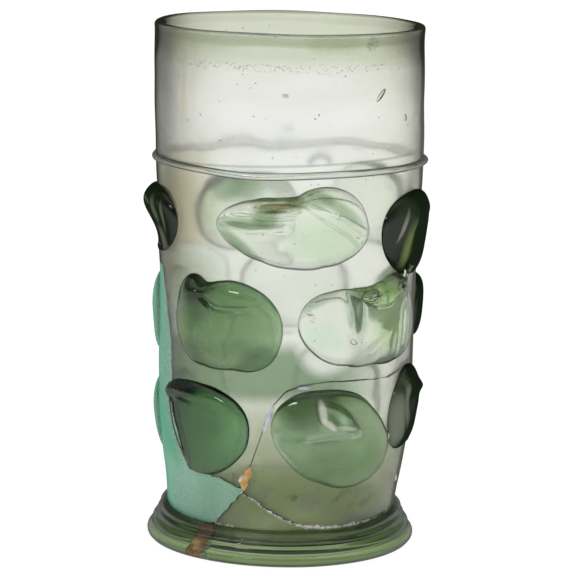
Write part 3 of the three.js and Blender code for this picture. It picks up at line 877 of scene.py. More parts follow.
def wall_glass(looks):
    """Thin blown glass: a greener rim, seeds, a worn line, and an inside dulled towards the base, with
    painted shade at its edges, along the crest of its rim and over its left front.
    """
    finish = Finish("wall_glass")
    x, y, height = finish.x, finish.y, finish.height
    step, band, clouds, spot, blend = finish.step, finish.band, finish.clouds, finish.spot, finish.blend
    inside = finish.inside()
    cloud = clouds(0.09, seed=4.0)
    front = step(y, 8, -12)

    # Colours that follow the photographed front: the greener glass of the rim, darker towards the rim, stains
    # and marks, and painted shade, a warm dark tint where the wall turns away from the eye and a painted
    # shadow over the left front.
    rim = step(height, 155.5, 161) * (0.55 + 0.9 * clouds(0.05, stretch=(1, 1, 3), seed=8.0))
    greener = band(height + 6 * clouds(0.06, seed=66.0), 64.5, 5.5, 6.5) * step(x, 37, 12)
    spared = spot(19, 41, 71, 7.0, 5.0).most(0.6 * spot(-29, 41, 72, 7.5, 4.0))
    bands = step(clouds(0.045, stretch=(0.6, 0.6, 2.4), seed=15.0), 0.42, 0.68)
    smudge = spot(-3.8, 43, 134.6, 0.8, 2.2).most(spot(-0.6, 43, 139, 0.8, 2.2))
    smudge = smudge * step(clouds(0.4, detail=5.0, seed=90.0), 0.35, 0.65)
    lens = spot(18.5, 43, 165.5, 6.0, 4.5) * step(height, 160.5, 163.5)
    drip = band(x, -32.7, 0.25, 0.8) * step(height, 132, 142) * step(height, 164, 156)
    streak = spot(-49.3, 43, 145, 0.8, 1.6).most(drip)
    tawny = step(x, -19, -38) * step(height, 130, 118) * step(height, 78, 92)
    # Painted shadow over the left front, below the middle.
    painted_shading = step(x, -10, -28) * front * step(height, 100, 92)
    worn = band(height + 1.6 * clouds(0.03, seed=2.0), 158.0, 0.9, 0.7)
    flecks = step(clouds(1.1, detail=2.0, seed=31.0), 0.56, 0.66)
    colour = finish.stained(
        blend(rim.clamp(), WHITE, (0.81, 0.84, 0.735)),
        (step(height, 141, 150), (0.95, 0.955, 0.93)),
        (step(height, 125, 121), (0.995, 1.0, 0.982)),
        (greener * front * (1 - spared), (0.31, 0.42, 0.29)),
        # Painted shade: a warm dark tint where the wall turns away from the eye.
        (finish.outline(0.9, 1.3), (0.97, 0.96, 0.83)),
        (step(height, 156, 160) * step(y, 0, 20), (0.90, 0.90, 0.87)),
        (bands * 0.2, (0.90, 0.93, 0.87)),
        (smudge * 0.4, (0.52, 0.60, 0.54)),
        (lens * 0.55, (0.72, 0.80, 0.66)),
        (streak * cloud * 0.6, (0.84, 0.70, 0.34)),
        (tawny, (0.80, 0.76, 0.62)),
        (painted_shading, (0.84, 0.84, 0.76)),
        (worn * flecks * 0.8, (0.42, 0.45, 0.38)),
    )

    # Specks in the glass, tool marks, and the tint of the cloudy lowest part.
    specks = finish.seeds(0.16, 0.062, 0.45, seed=5.0).most(finish.seeds(0.42, 0.12, 0.14, seed=17.0))
    hatch = spot(35.7, 43, 164.6, 1.6, 1.4) * step(clouds(1.3, seed=51.0), 0.45, 0.55)
    tool_line = band(height - 0.045 * x, 127.2, 0.12, 0.45) * step(y, 5, -12)
    hoop = band(finish.away_from(165.5, 41.8, 117), 3.7, 0.3, 0.9) * step(height, 116.5, 118)
    drift = clouds(0.10, detail=4.0, seed=33.0)
    low = step(height + 16 * drift, 51, 33) * (0.7 + 0.3 * step(drift, 0.4, 0.6))
    colour = finish.stained(
        blend(specks * 0.85, colour, (0.10, 0.11, 0.08)),
        (hatch * 0.8, (0.36, 0.39, 0.33)),
        (tool_line * 0.55, (0.36, 0.42, 0.36)),
        (hoop * 0.9, (0.30, 0.37, 0.31)),
        (low, (0.90, 0.95, 0.75)),
    )
    roughness = 0.015 + inside * (0.13 + 0.03 * step(cloud, 0.5, 0.8) + 0.10 * low)
    waves = finish.bump(clouds(0.20, detail=1.0, stretch=(1, 1, 2), seed=40.0), 0.06, 0.25)
    glass = finish.glass(colour, roughness, Normal=waves)

    # The bloom on the inner face, brown in places near the base.
    dull = step(height, 122, 100) * (0.4 + 0.6 * step(clouds(0.07, detail=5.0, seed=12.0), 0.30, 0.75))
    rust = step(clouds(0.11, detail=4.0, seed=71.0), 0.58, 0.72) * low
    low_bloom = blend(step(x, 32, 6), (0.45, 0.55, 0.25), (0.60, 0.76, 0.31))
    bloom_colour = blend(low, (0.80, 0.82, 0.74), low_bloom)
    bloom = finish.matt(blend(rust, bloom_colour, (0.27, 0.19, 0.12)))
    dust = inside * (looks.haze * (0.2 + 0.8 * dull) + 0.55 * low)
    glass = finish.mixed(dust.clamp(), glass, bloom)

    # Painted shade: a dark matt outline where the wall turns away from the eye, darker on the left than on
    # the right and broader at the rim, and a painted dark line along the crest of the rim.
    lip = step(height, 154, 163)
    side = step(x, -10, 32) * (1 - lip)
    high = step(height, 138, 162)
    left = blend(high, (0.062, 0.066, 0.042), (0.030, 0.033, 0.020))
    right = blend(high, (0.130, 0.134, 0.100), (0.040, 0.043, 0.030))
    above = step(height, 141, 150)
    shade = finish.outline(0.87 - 0.07 * side - 0.10 * lip, 2.4 - 0.3 * above + side * (3.1 - 1.5 * above))
    # Painted shade: a dark line along the crest of the rim.
    crest = step(height, RIM_HEIGHT - 1.4, RIM_HEIGHT - 0.5)
    dark = finish.matt(blend(side, left, right))
    return finish.done(finish.mixed(shade.most(0.45 * crest), glass, dark), looks.wall_loss)


def prunt_glass(name, loss, skin_tint, dark, depth, full, power, prunt=None):
    """Thick green glass with its darker and lighter patches, partly the glass's own colour and partly painted
    shade and painted highlights. The painted dark outline is shaped by a dark colour, its depth, how far the
    skin has turned away where it is full, and how fast it comes."""
    finish = Finish(name)
    cloud = finish.clouds(0.16, detail=4.0, stretch=(1, 1, 0.6), seed=len(name))
    tints_and_painted_shade, painted_glints_and_streaks = PRUNT_TINTS_AND_PAINTED_LIGHT.get(prunt.name, ((), ())) if prunt else ((), ())
    specks = finish.seeds(0.33, 0.08, 0.25, seed=9.0).most(finish.seeds(0.7, 0.13, 0.10, seed=27.0))
    colour = finish.stained(
        skin_tint,
        (cloud * depth, (0.90, 0.94, 0.88)),
        *((finish.patch(prunt, *shape) * amount, tint) for *shape, tint, amount in tints_and_painted_shade),
        (specks * 0.8, (0.16, 0.18, 0.12)),
    )
    waves = finish.bump(finish.clouds(0.22, detail=2.0, seed=6.0), 0.06, 0.3)
    glass = finish.glass(colour, 0.02 + 0.03 * finish.clouds(0.2, seed=3.0), Normal=waves)
    # Painted shade: a dark matt outline where the prunt turns away from the eye.
    painted_shading = finish.with_painted_edge_shade(glass, dark, full, power, depth)
    # Matt patches over it: painted highlights and glints, some painted dark shade, and streaks of milkier
    # glass.
    for *shape, tint, amount in painted_glints_and_streaks:
        painted_shading = finish.mixed(finish.patch(prunt, *shape) * amount, painted_shading, finish.matt(tint))
    return finish.done(painted_shading, loss)


def trail_glass(name, loss, dark, depth):
    """The glass of the collar or of the foot, streaked along its winding, with painted shade in the foot's
    groove, along its underside and at its edges.
    """
    finish = Finish(name)
    streaks = finish.clouds(0.25, detail=4.0, stretch=(0.25, 0.25, 1.6), seed=7.0)
    # Painted shade in the groove between the foot's lower turns and along its underside.
    groove = finish.band(finish.height, 5.3, 0.8, 0.7).most(finish.step(finish.height, 2.2, 1.0))
    colour = finish.stained(
        finish.blend(finish.step(streaks, 0.4, 0.7), WHITE, (0.86, 0.89, 0.78)),
        (finish.seeds(0.3, 0.09, 0.3, seed=2.0) * 0.8, (0.16, 0.16, 0.10)),
        (groove, (0.40, 0.46, 0.30)),
    )
    # Painted shade: a dark matt outline where the trail turns away from the eye.
    return finish.done(finish.with_painted_edge_shade(finish.glass(colour, 0.03), dark, 0.85, 2.6, depth), loss)


def cast_resin():
    """Tinted casting resin: clear above, milky turquoise at its lower corner, teal along its front edge."""
    finish = Finish("cast_resin")
    x, height, step, blend = finish.x, finish.height, finish.step, finish.blend
    streaks = step(finish.clouds(0.10, detail=4.0, stretch=(1, 1, 0.45), seed=19.0), 0.42, 0.66)
    front = step(finish.y, 2, -12)
    ends = step(height, 64, 46) * step(height, 22, 34)
    seam = front * ends * finish.band(x + 0.35 * height, -24.6, 0.8, 3.2)
    tooth = step(height, 33, 25) * front
    strip = front * step(x, -33, -38)
    body = finish.stained(
        blend(streaks, (0.985, 1.0, 0.99), (0.95, 0.99, 0.97)),
        (front, (0.84, 0.96, 0.90)),
        (seam, (0.08, 0.52, 0.30)),
        (strip, (0.76, 0.88, 0.82)),
    )
    cloudy = finish.clouds(0.2, detail=5.0, seed=28.0)
    clear = finish.glass(body, 0.22 + 0.1 * cloudy)
    milk_colour = blend(streaks, (0.34, 0.60, 0.44), (0.27, 0.53, 0.38))
    milk_colour = blend(strip * (1 - tooth), milk_colour, (0.22, 0.46, 0.32))
    milk = finish.surface(blend(seam, milk_colour, (0.05, 0.34, 0.17)), 0.45)
    milky = (0.03 + 0.05 * cloudy + 0.42 * tooth + 0.75 * seam + 0.35 * strip).clamp()
    # Painted shade: a dark teal matt outline where the resin turns away from the eye.
    resin = finish.with_painted_edge_shade(finish.mixed(milky, clear, milk), (0.11, 0.39, 0.25), 0.95, 2.4)
    return finish.done(resin, (0.034, 0.009, 0.020))


def plug_resin():
    """Brown resin in the foot ring, clouded and stained."""
    finish = Finish("ring_resin")
    stain = finish.clouds(0.45, detail=5.0, seed=11.0)
    golden = finish.spot(-39.6, 43.5, 5.8, 1.2, 2.4)
    colour = finish.blend(finish.step(stain, 0.35, 0.65), (0.30, 0.19, 0.06), (0.56, 0.44, 0.20))
    clear = finish.glass(finish.blend(golden, colour, (0.90, 0.72, 0.34)), 0.12)
    cloudy = finish.blend(stain, (0.07, 0.035, 0.010), (0.22, 0.15, 0.06))
    milk = finish.surface(finish.blend(golden, cloudy, (0.66, 0.48, 0.18)), 0.4)
    # Painted shade: a dark brown matt outline where the resin turns away from the eye.
    resin = finish.with_painted_edge_shade(finish.mixed(0.4, clear, milk), (0.035, 0.022, 0.008), 0.85, 2.4)
    return finish.done(resin, (0.09, 0.13, 0.25))


def chalky(name, first, second, scale, rough=0.7, clear=0.0):
    """A dry mending material in two mixed tones."""
    finish = Finish(name)
    stain = finish.clouds(scale, detail=6.0, rough=0.65, seed=len(name) * 1.3)
    colour = finish.blend(finish.step(stain, 0.38, 0.62), first, second)
    grain = finish.bump(finish.clouds(scale * 4, detail=4.0, seed=5.0), 0.5, 0.15)
    surface = finish.surface(colour, rough, Normal=grain)
    if clear:
        glass = finish.glass((0.95, 0.93, 0.86), 0.2)
        surface = finish.mixed((clear * 2 * finish.clouds(scale * 1.5, seed=61.0)).clamp(), surface, glass)
    return finish.done(surface)


def floor_paper():
    """A plain white paper sweep, bright as on a light table."""
    finish = Finish("floor_paper")
    colour = finish.blend(finish.clouds(0.5, detail=2.0), (0.14, 0.14, 0.138), (0.16, 0.16, 0.158))
    return finish.done(finish.surface(colour, 0.9, Emission_Color=(1, 1, 1, 1), Emission_Strength=0.95))


def light_loss(name, where, lost):
    """A setting: the light that a millimetre of one glass takes, in red, green and blue."""
    return FloatVectorProperty(name=name, description="Light lost to a millimetre of " + where, default=lost)


class BeakerSizes(bpy.types.PropertyGroup):
    """How finely the beaker is divided and how uneven its making left it."""

    round_steps: IntProperty(name="Steps Round", description="Divisions round it", default=216, min=24)
    wall_steps: IntProperty(name="Steps Up", description="Divisions up the wall", default=96, min=12)
    waviness: FloatProperty(name="Waviness", description="How uneven it is", default=1.0, subtype="FACTOR")
    gap: FloatProperty(name="Crack", description="Width of a closed crack", default=HAIR * MM, unit="LENGTH")


class BeakerLooks(bpy.types.PropertyGroup):
    """Colours of the glass, and how dull it has become."""

    wall_loss: light_loss("Wall", "wall", (0.057, 0.054, 0.064))
    clear_loss: light_loss("Clear Prunt", "a clear prunt", (0.012, 0.006, 0.014))
    soft_loss: light_loss("Soft Prunt", "a soft green prunt", (0.115, 0.075, 0.115))
    faint_loss: light_loss("Faint Prunt", "a faint prunt", (0.004, 0.002, 0.004))
    green_loss: light_loss("Green Prunt", "a green prunt", (0.245, 0.175, 0.285))
    deep_loss: light_loss("Deep Prunt", "a deep green prunt", (0.355, 0.21, 0.365))
    dark_loss: light_loss("Dark Prunt", "a dark side prunt", (0.36, 0.24, 0.37))
    collar_loss: light_loss("Collar", "the collar", (0.06, 0.05, 0.07))
    foot_loss: light_loss("Foot", "the foot ring", (0.20, 0.155, 0.26))
    haze: FloatProperty(name="Haze", description="How dull the wall is", default=0.02, subtype="FACTOR")


class StageSetup(bpy.types.PropertyGroup):
    """Where the camera stands, and the light."""

    distance: FloatProperty(name="Distance", description="Camera to axis", default=0.9426, unit="LENGTH")
    height: FloatProperty(name="Height", description="Camera above the table", default=0.2523, unit="LENGTH")
    pitch: FloatProperty(name="Pitch", description="Camera tilt down", default=0.178, subtype="ANGLE")
    roll: FloatProperty(name="Roll", description="Camera turn about its view", default=0.022, subtype="ANGLE")
    lens: FloatProperty(name="Lens", description="Focal length in millimetres", default=187.1)
    sky: FloatProperty(name="Sky", description="Brightness of the surroundings", default=1.0)


class BEAKER_OT_blow_vessel(bpy.types.Operator):
    """Make the three glass sherds of the blown vessel"""

    bl_idname = "beaker.blow_vessel"
    bl_label = "Vessel Sherds"

    def execute(self, context):
        sizes = context.scene.beaker_sizes
        glass = wall_glass(context.scene.beaker_looks)
        gap = sizes.gap / MM
        broken = carve(vessel_blank(sizes), opening(PANEL_EDGE, PANEL_SEED, gap), "DIFFERENCE")
        upper, under = parted(broken, below(UPPER_CRACK, 1.0), gap)
        sherd, base = parted(under, below(LOWER_CRACK, 4.0), gap)
        sherds = {"vessel_upper": upper, "vessel_lower_sherd": sherd, "vessel_base": base}
        for name, mesh in sherds.items():
            voids = bubble_mesh() if mesh is upper else None
            link(name + "_glass", opened(mesh), glass, "wall_glass", name, voids=voids)
        return {"FINISHED"}


class BEAKER_OT_cast_panel(bpy.types.Operator):
    """Cast the resin panel and its two prunts"""

    bl_idname = "beaker.cast_panel"
    bl_label = "Resin Panel"

    def execute(self, context):
        blank = vessel_blank(context.scene.beaker_sizes)
        panel = carve(blank, opening(PANEL_EDGE, PANEL_SEED), "INTERSECT")
        shapes = {"resin_panel": opened(panel)}
        shapes.update({row[0]: prunt_mesh(prunt_from_row(row)) for row in RESIN_PRUNTS})
        resin = cast_resin()
        for name, bm in shapes.items():
            link(name + "_cast", bm, resin, "cast_resin", name)
        return {"FINISHED"}


# Darker and lighter patches on the prunts, partly the glass's own colour and partly painted shade and painted
# highlights. Each has its place in millimetres right of and up from the prunt's middle, half width, half
# height, turn in degrees, colour and amount. The first list colours the glass, much of it painted shade where
# the thick glass bends light; the second lies on it as a matt patch: painted highlights and glints, some
# painted dark shade, and streaks of milkier glass.
PRUNT_TINTS_AND_PAINTED_LIGHT = {
    "prunt_upper_front": ([
        (-15, 1.6, 8, 1.7, 2, (0.44, 0.57, 0.38), 0.85), (-7.8, 3.9, 3.6, 2.8, 0, (0.36, 0.48, 0.31), 0.9),
        (-15.5, -5.6, 8.5, 1.7, -38, (0.40, 0.54, 0.36), 0.9),
        (10.7, -3.6, 11, 7, -8, (0.80, 0.91, 0.78), 0.95), (6.4, 9.8, 4.8, 2.2, -12, (0.44, 0.57, 0.40), 0.9),
        (14.5, 6.2, 7.5, 1.6, -33, (0.46, 0.58, 0.42), 0.9), (0.8, 8.6, 2.8, 1.7, 0, (0.28, 0.38, 0.19), 0.9),
        (-4.6, 8.1, 7.0, 2.3, 2, (0.42, 0.50, 0.28), 0.85),
    ], []),
    "prunt_upper_back_left": ([
        (4, 8.5, 6, 5, 0, (0.34, 0.47, 0.31), 0.95), (-4, 8.5, 6, 5, 0, (0.34, 0.47, 0.31), 0.95),
        (13, 1, 8, 8, 0, (0.78, 0.88, 0.74), 0.9), (-14.5, 8.5, 4.5, 4.5, 0, (0.46, 0.52, 0.43), 0.9),
    ], []),
    "prunt_middle_front_left": ([
        (-9.5, 11.5, 4.5, 3.6, 0, (0.40, 0.50, 0.32), 0.95), (-9, 6, 4.6, 6, 0, (0.58, 0.69, 0.48), 0.8),
        (-11.8, -1, 2.2, 6, 0, (0.96, 1.0, 0.62), 0.7), (3, 9.4, 8, 3, -8, (0.78, 0.84, 0.72), 0.7),
    ], []),
    "prunt_middle_front_right": ([
        (-6.6, 5, 2.6, 6.5, 12, (0.44, 0.57, 0.42), 0.9), (0, 11.4, 8, 1.7, -2, (0.40, 0.52, 0.29), 0.85),
        (7.0, 1, 6.5, 9.5, 8, (0.75, 0.91, 0.57), 0.9), (9, 11, 3.2, 4, 0, (0.34, 0.47, 0.20), 0.9),
        (-16.5, -2.6, 6.5, 4, -15, (0.88, 0.98, 0.93), 0.8),
        (-3.1, 9.6, 3.4, 2.6, 0, (0.50, 0.60, 0.40), 0.8), (-19, 8.6, 6, 1.3, 28, (0.60, 0.72, 0.58), 0.7),
    ], []),
    "prunt_lower_front_left": ([
        (-7, 12.4, 5, 2.4, 0, (0.34, 0.36, 0.20), 0.85), (-4, 3, 4, 7, 0, (0.80, 0.90, 0.74), 0.5),
    ], []),
    "prunt_lower_front_right": ([
        (-11.5, 9.8, 6.8, 4.4, -10, (0.32, 0.41, 0.27), 0.9), (-1, -9, 13, 5, 0, (0.76, 0.87, 0.75), 0.8),
        (-14, 3.4, 3.6, 5.5, 0, (0.72, 0.84, 0.70), 0.7), (-2.0, 8.4, 1.7, 2.6, 12, (0.34, 0.42, 0.30), 0.9),
        (4.2, 4.2, 1.2, 0.9, -20, (0.34, 0.40, 0.24), 0.9), (-2, 3.2, 8, 1.0, 3, (0.70, 0.80, 0.66), 0.6),
        (13, -7, 6, 7, 0, (0.88, 1.0, 0.76), 0.6),
    ], [
        (-5.8, 10.2, 1.1, 3.2, 10, (0.78, 0.80, 0.66), 0.6),
        (-3.8, 6.2, 2.6, 1.0, -38, (0.78, 0.80, 0.66), 0.6),
        (1.2, 4.9, 3.0, 0.7, -8, (0.66, 0.70, 0.56), 0.5), (-2.6, 1.7, 7.6, 0.7, 5, (0.36, 0.48, 0.34), 0.45),
    ]),
    "prunt_upper_left": ([], [
        (8, 4, 1.4, 3.6, 12, (0.11, 0.15, 0.09), 0.7), (9, -5.5, 2.4, 3.6, 10, (0.17, 0.17, 0.145), 0.6),
        (3, 6.5, 2.6, 0.9, -20, (0.10, 0.13, 0.09), 0.6), (12, 2, 0.7, 4.0, 4, (0.20, 0.20, 0.14), 0.5),
    ]),
    "prunt_upper_right": ([], [
        (-6.6, -2, 2.8, 6, -6, (0.17, 0.23, 0.085), 0.85),
        (-9.9, 4.4, 0.6, 4.6, -24, (0.42, 0.44, 0.36), 0.5), (-8.4, 9, 4, 2.6, 20, (0.05, 0.08, 0.035), 0.4),
    ]),
    "prunt_lower_right": ([], [
        (-8, -2, 3.8, 8.5, 0, (0.24, 0.27, 0.20), 0.75), (-10.6, 4.6, 0.6, 6, -12, (0.34, 0.36, 0.30), 0.7),
        (-3.4, 3.6, 1.2, 6.5, 8, (0.22, 0.25, 0.19), 0.7), (-6.5, 11.5, 3.5, 2.5, 0, (0.07, 0.10, 0.05), 0.7),
    ]),
}

# Which green each prunt is, dark where none is named. Each green has the tint of its skin, then the colour
# and depth of its painted dark outline, how far the skin has turned away where the painted outline is full,
# and how fast it comes. On the dark prunts the painted outline starts early and covers most of what turns
# away from the eye.
PRUNT_TONES = {
    "prunt_upper_front": "clear", "prunt_middle_front_right": "clear", "prunt_upper_back_right": "faint",
    "prunt_middle_back": "faint", "prunt_middle_front_left": "green", "prunt_upper_back_left": "faint",
    "prunt_lower_front_right": "soft", "prunt_lower_back": "faint", "prunt_lower_front_left": "deep",
}
SKINS = {
    "faint": ((0.985, 0.995, 0.98), (0.30, 0.33, 0.27), 0.06, 0.85, 3.2),
    "clear": ((1.0, 1.0, 0.99), (0.06, 0.08, 0.045), 0.8, 0.85, 3.2),
    "soft": ((0.76, 0.86, 0.73), (0.04, 0.065, 0.03), 0.85, 0.85, 3.2),
    "green": ((0.60, 0.72, 0.55), (0.04, 0.065, 0.03), 0.9, 0.85, 3.2),
    "deep": ((0.50, 0.68, 0.47), (0.02, 0.04, 0.018), 0.9, 0.8, 2.6),
    "dark": ((0.42, 0.58, 0.38), (0.012, 0.021, 0.010), 1.0, 0.42, 1.5),
}


class BEAKER_OT_lay_prunts(bpy.types.Operator):
    """Lay the glass prunts on the wall"""

    bl_idname = "beaker.lay_prunts"
    bl_label = "Prunts"

    def execute(self, context):
        looks = context.scene.beaker_looks
        gap = context.scene.beaker_sizes.gap / MM
        prunts = [Prunt(*row, fine=FRONT_FINENESS) for row in FRONT_PRUNTS]
        for prunt in prunts + [prunt_from_row(row) for row in SIDE_PRUNTS]:
            tone = PRUNT_TONES.get(prunt.name, "dark")
            glass = prunt_glass(prunt.name + "_glass", getattr(looks, tone + "_loss"), *SKINS[tone], prunt)
            bm = prunt_mesh(prunt)
            if prunt.name == "prunt_lower_front_left":
                bm = opened(carve(new_mesh("whole", bm), opening(PANEL_EDGE, PANEL_SEED, gap), "DIFFERENCE"))
            link(prunt.name + "_blob", bm, glass, "prunt_glass", prunt.name, sharp=60)
        return {"FINISHED"}


def collar_mesh():
    """The collar thread: a half-round trail fused to the wall."""
    half = COLLAR_TALL / 2
    wide_ring = 50
    turns = [math.pi * (i / 14 - 0.5) for i in range(15)]
    face = [(COLLAR_DEEP * math.cos(turn), COLLAR_HEIGHT + half * math.sin(turn)) for turn in turns]
    back = [(-SUNK, COLLAR_HEIGHT + half - 0.1), (-SUNK, COLLAR_HEIGHT - half + 0.1)]
    bm = turned([(wide_ring + out, height) for out, height in face + back], TRAIL_STEPS, closed=True)
    for vert in bm.verts:
        out = math.hypot(vert.co.x, vert.co.y) - wide_ring
        angle = bearing(vert.co)
        ring = around(angle, 43, COLLAR_HEIGHT)
        level = vert.co.z - COLLAR_HEIGHT + along(COLLAR_PATH, angle)
        thick = 1 + 0.2 * ripple(ring, 14, 14, 2.4)
        radius = skin(angle, level) + (out * thick if out > 0 else out)
        vert.co = around(angle, radius, level)
    return bm


def foot_mesh():
    """The foot ring: its face follows whichever wound turn stands out furthest at each height."""
    count = 60
    inner = along(OUTER, FOOT_TOP) - SUNK

    def reach(height):
        best = inner + 0.3
        for radius, middle, thick in FOOT_TURNS:
            square = thick ** 2 - (height - middle) ** 2
            if square > 0:
                best = max(best, radius + math.sqrt(square))
        return best

    def soft(height):
        return (reach(height - 0.45) + 2 * reach(height) + reach(height + 0.45)) / 4

    bottom = FOOT_TURNS[0]
    face = [(inner, 0), (bottom[0] - 0.8, 0)]
    face += [(reach(FOOT_TOP * i / count), FOOT_TOP * i / count) for i in range(3)]
    face += [(soft(FOOT_TOP * i / count), FOOT_TOP * i / count) for i in range(3, count)]
    face += [(FOOT_TURNS[-1][0], FOOT_TOP - 0.02), (inner + 0.1, FOOT_TOP)]
    bm = turned(face, TRAIL_STEPS, closed=True)
    for vert in bm.verts:
        radius = math.hypot(vert.co.x, vert.co.y)
        angle = bearing(vert.co)
        ring = around(angle, 42, vert.co.z)
        out = smooth(inner, inner + 2, radius)
        level = vert.co.z * (along(FOOT_RISE, angle) + 0.03 * ripple(ring, 28, 60, 8.8))
        wall = skin(angle, max(level, 6)) - SUNK
        radius = wall + (radius - inner) + out * (inner - wall) + out * 0.3 * ripple(ring, 24, 12, 1.9)
        vert.co = around(angle, radius, level)
    return bm


class BEAKER_OT_trail_threads(bpy.types.Operator):
    """Trail the collar thread and wind the foot ring"""

    bl_idname = "beaker.trail_threads"
    bl_label = "Collar and Foot"

    def execute(self, context):
        looks = context.scene.beaker_looks
        pale = trail_glass("collar_glass", looks.collar_loss, (0.10, 0.11, 0.085), 0.9)
        glass = trail_glass("foot_glass", looks.foot_loss, (0.04, 0.055, 0.03), 0.85)
        link("collar_thread_trail", collar_mesh(), pale, "trail_glass", "collar_thread")
        gap = opening(PLUG_EDGE, PLUG_SEED, context.scene.beaker_sizes.gap / MM)
        ring = carve(new_mesh("foot", foot_mesh()), gap, "DIFFERENCE")
        plug = carve(new_mesh("foot", foot_mesh()), opening(PLUG_EDGE, PLUG_SEED), "INTERSECT")
        link("foot_ring_trail", opened(ring), glass, "trail_glass", "foot_ring")
        link("foot_ring_plug_cast", opened(plug), plug_resin(), "ring_resin", "foot_ring_plug")
        return {"FINISHED"}


def lump_mesh(angle, height, half_width, half_height, thickness, lean, seed):
    """A lump of mending material over a crack, standing on the wall."""
    bm = bmesh.new()
    bmesh.ops.create_uvsphere(bm, u_segments=32, v_segments=20, radius=1)
    for vert in bm.verts:
        x, y, z = vert.co
        uneven = 1 + 0.35 * noise.noise(Vector((x * 1.6, z * 3.2, y * 1.6 + seed)))
        right = (x * half_width * uneven + z * lean) / PER_DEGREE
        level = height + z * half_height * uneven
        rise = max(0.0, -y) * thickness * uneven - 0.12
        vert.co = around(angle + right, skin(angle + right, level) + rise, level)
    return bm


def deposit_mesh():
    """The deposit in the pinched slot of the upper front prunt."""
    angle, height, right_of, above, half_width, half_height, stand = SLOT_DEPOSIT
    bm = bmesh.new()
    bmesh.ops.create_uvsphere(bm, u_segments=40, v_segments=16, radius=1)
    for vert in bm.verts:
        x, y, z = vert.co
        uneven = 1 + 0.3 * noise.noise(Vector((x * 3.4, y, z * 2)))
        up = above + 0.05 * x * half_width + z * half_height * uneven
        turn = angle + (right_of + x * half_width) / PER_DEGREE
        vert.co = around(turn, skin(turn, height + up) + stand - y * 0.8 * uneven, height + up)
    return bm


def bead_mesh(path, thick, count):
    """A thin drawn bead of glass or glue along stations of (share, angle, height, stand, width)."""
    bm = bmesh.new()
    rings, places = [], []
    for i in range(count + 1):
        tracks = ([(row[0], row[k]) for row in path] for k in (1, 2, 3, 4))
        angle, height, stand, width = (along(track, i / count) for track in tracks)
        places.append((around(angle, skin(angle, height) + stand, height), width))
    for i, (place, width) in enumerate(places):
        run = places[min(count, i + 1)][0] - places[max(0, i - 1)][0]
        turn = run.to_track_quat("Z", "Y").to_matrix().to_4x4()
        ring = bmesh.ops.create_circle(
            bm, radius=thick * width, segments=10, cap_ends=i in (0, count),
            matrix=Matrix.Translation(place) @ turn,
        )["verts"]
        edges = list({edge for vert in ring for edge in vert.link_edges})
        if rings:
            bmesh.ops.bridge_loops(bm, edges=rings[-1] + edges)
        rings.append(edges)
    bmesh.ops.recalc_face_normals(bm, faces=bm.faces)
    return bm


def scatter_flakes(bm, crack, spans, seed, stand):
    """Adds small dry flakes along a crack."""
    rolls = random.Random(seed)
    for start, stop, count, biggest in spans:
        for _ in range(count):
            angle = rolls.uniform(start, stop)
            level = straight(crack, angle) + rolls.gauss(0, 0.45) * biggest
            size = biggest * (0.25 + 0.75 * rolls.random() ** 2)
            wide = size * rolls.uniform(0.8, 2.0)
            tilt = math.radians(rolls.uniform(-35, 35))
            verts = bmesh.ops.create_icosphere(bm, subdivisions=2, radius=1)["verts"]
            for vert in verts:
                x, y, z = vert.co
                jag = 1 + 0.5 * noise.noise(vert.co * 1.7 + Vector((angle, level, size)))
                right = (x * math.cos(tilt) - z * math.sin(tilt)) * wide * jag * 0.5
                up = (x * math.sin(tilt) + z * math.cos(tilt)) * size * jag * 0.5
                turn = angle + right / PER_DEGREE
                vert.co = around(turn, skin(turn, level + up) + stand - y * 0.14 * size - 0.02, level + up)


# Lumps, chips and fillings: finish, plain nodes replaced, then angle, height, half width, half height,
# thickness, lean and random start.
LUMPS = {
    "adhesive_lump_dried": ("glue", ("adhesive_lump",), -17.2, 27.6, 1.5, 3.9, 0.9, 1.3, 1.0),
    "filler_patch_dried": ("filler", ("filler_patch",), -7.2, 47.4, 0.85, 4.0, 0.5, 1.4, 5.0),
    "chip_middle": ("flakes", (), 54.2, 39, 0.5, 1.5, 0.7, 0.2, 2.0),
    "chip_lower_right": ("flakes", (), 71, 22.6, 0.5, 1.2, 0.6, -0.3, 3.0),
    "chip_low": ("flakes", (), 46.9, 27, 0.5, 0.4, 0.5, 0.1, 4.0),
    "chip_glue": ("flakes", (), -19.6, 27.2, 0.7, 1.5, 0.7, 0.7, 6.0),
    "filled_crack": ("filler", (), 8.6, 57.5, 2.2, 0.5, 0.5, 0.2, 7.0),
}

# Flakes and crusts: finish, then for each stretch the crack they follow, its spans as start and end
# angles, a count and a largest size, the random start and the stand off the wall.
FLAKES = {
    "seam_flakes": ("flakes", [
        (LOWER_CRACK, [(-20, 2, 90, 0.5), (2, 13, 60, 0.55), (12, 30, 120, 0.8), (30, 72, 170, 0.7)], 3, 0),
        ([(-54, 9.8), (-44, 10.2)], [(-54, -44, 30, 0.5)], 4, 0),
        ([(-35, 10.9), (-24, 10.6)], [(-34, -24, 34, 0.7)], 5, 0),
        ([(-57.5, 54.2), (-46, 53)], [(-57, -46, 16, 0.6)], 6, 3.1),
    ]),
    "edge_crust": ("crust", [
        ([(-58, 54.4), (-46, 53.2)], [(-58, -46, 26, 0.9)], 7, 2.7),
        ([(-49, 27.7), (-31, 26.7)], [(-48.5, -31.5, 46, 0.7)], 8, 0),
    ]),
}

# The string of glass drawn out between two prunts and nipped off in a curl, and the deposit in a slot.
# Curl: angle, height, half width, half height and stand off the wall. Deposit: angle and height of its
# prunt, then how far right and up it lies, half width, half height and stand off the wall.
CURL = (36, 86, 2.9, 1.8, 3.5)
CURL_STATIONS = 12
SLOT_DEPOSIT = (2, 107.5, -4.8, 7.6, 4.4, 0.9, 2.6)


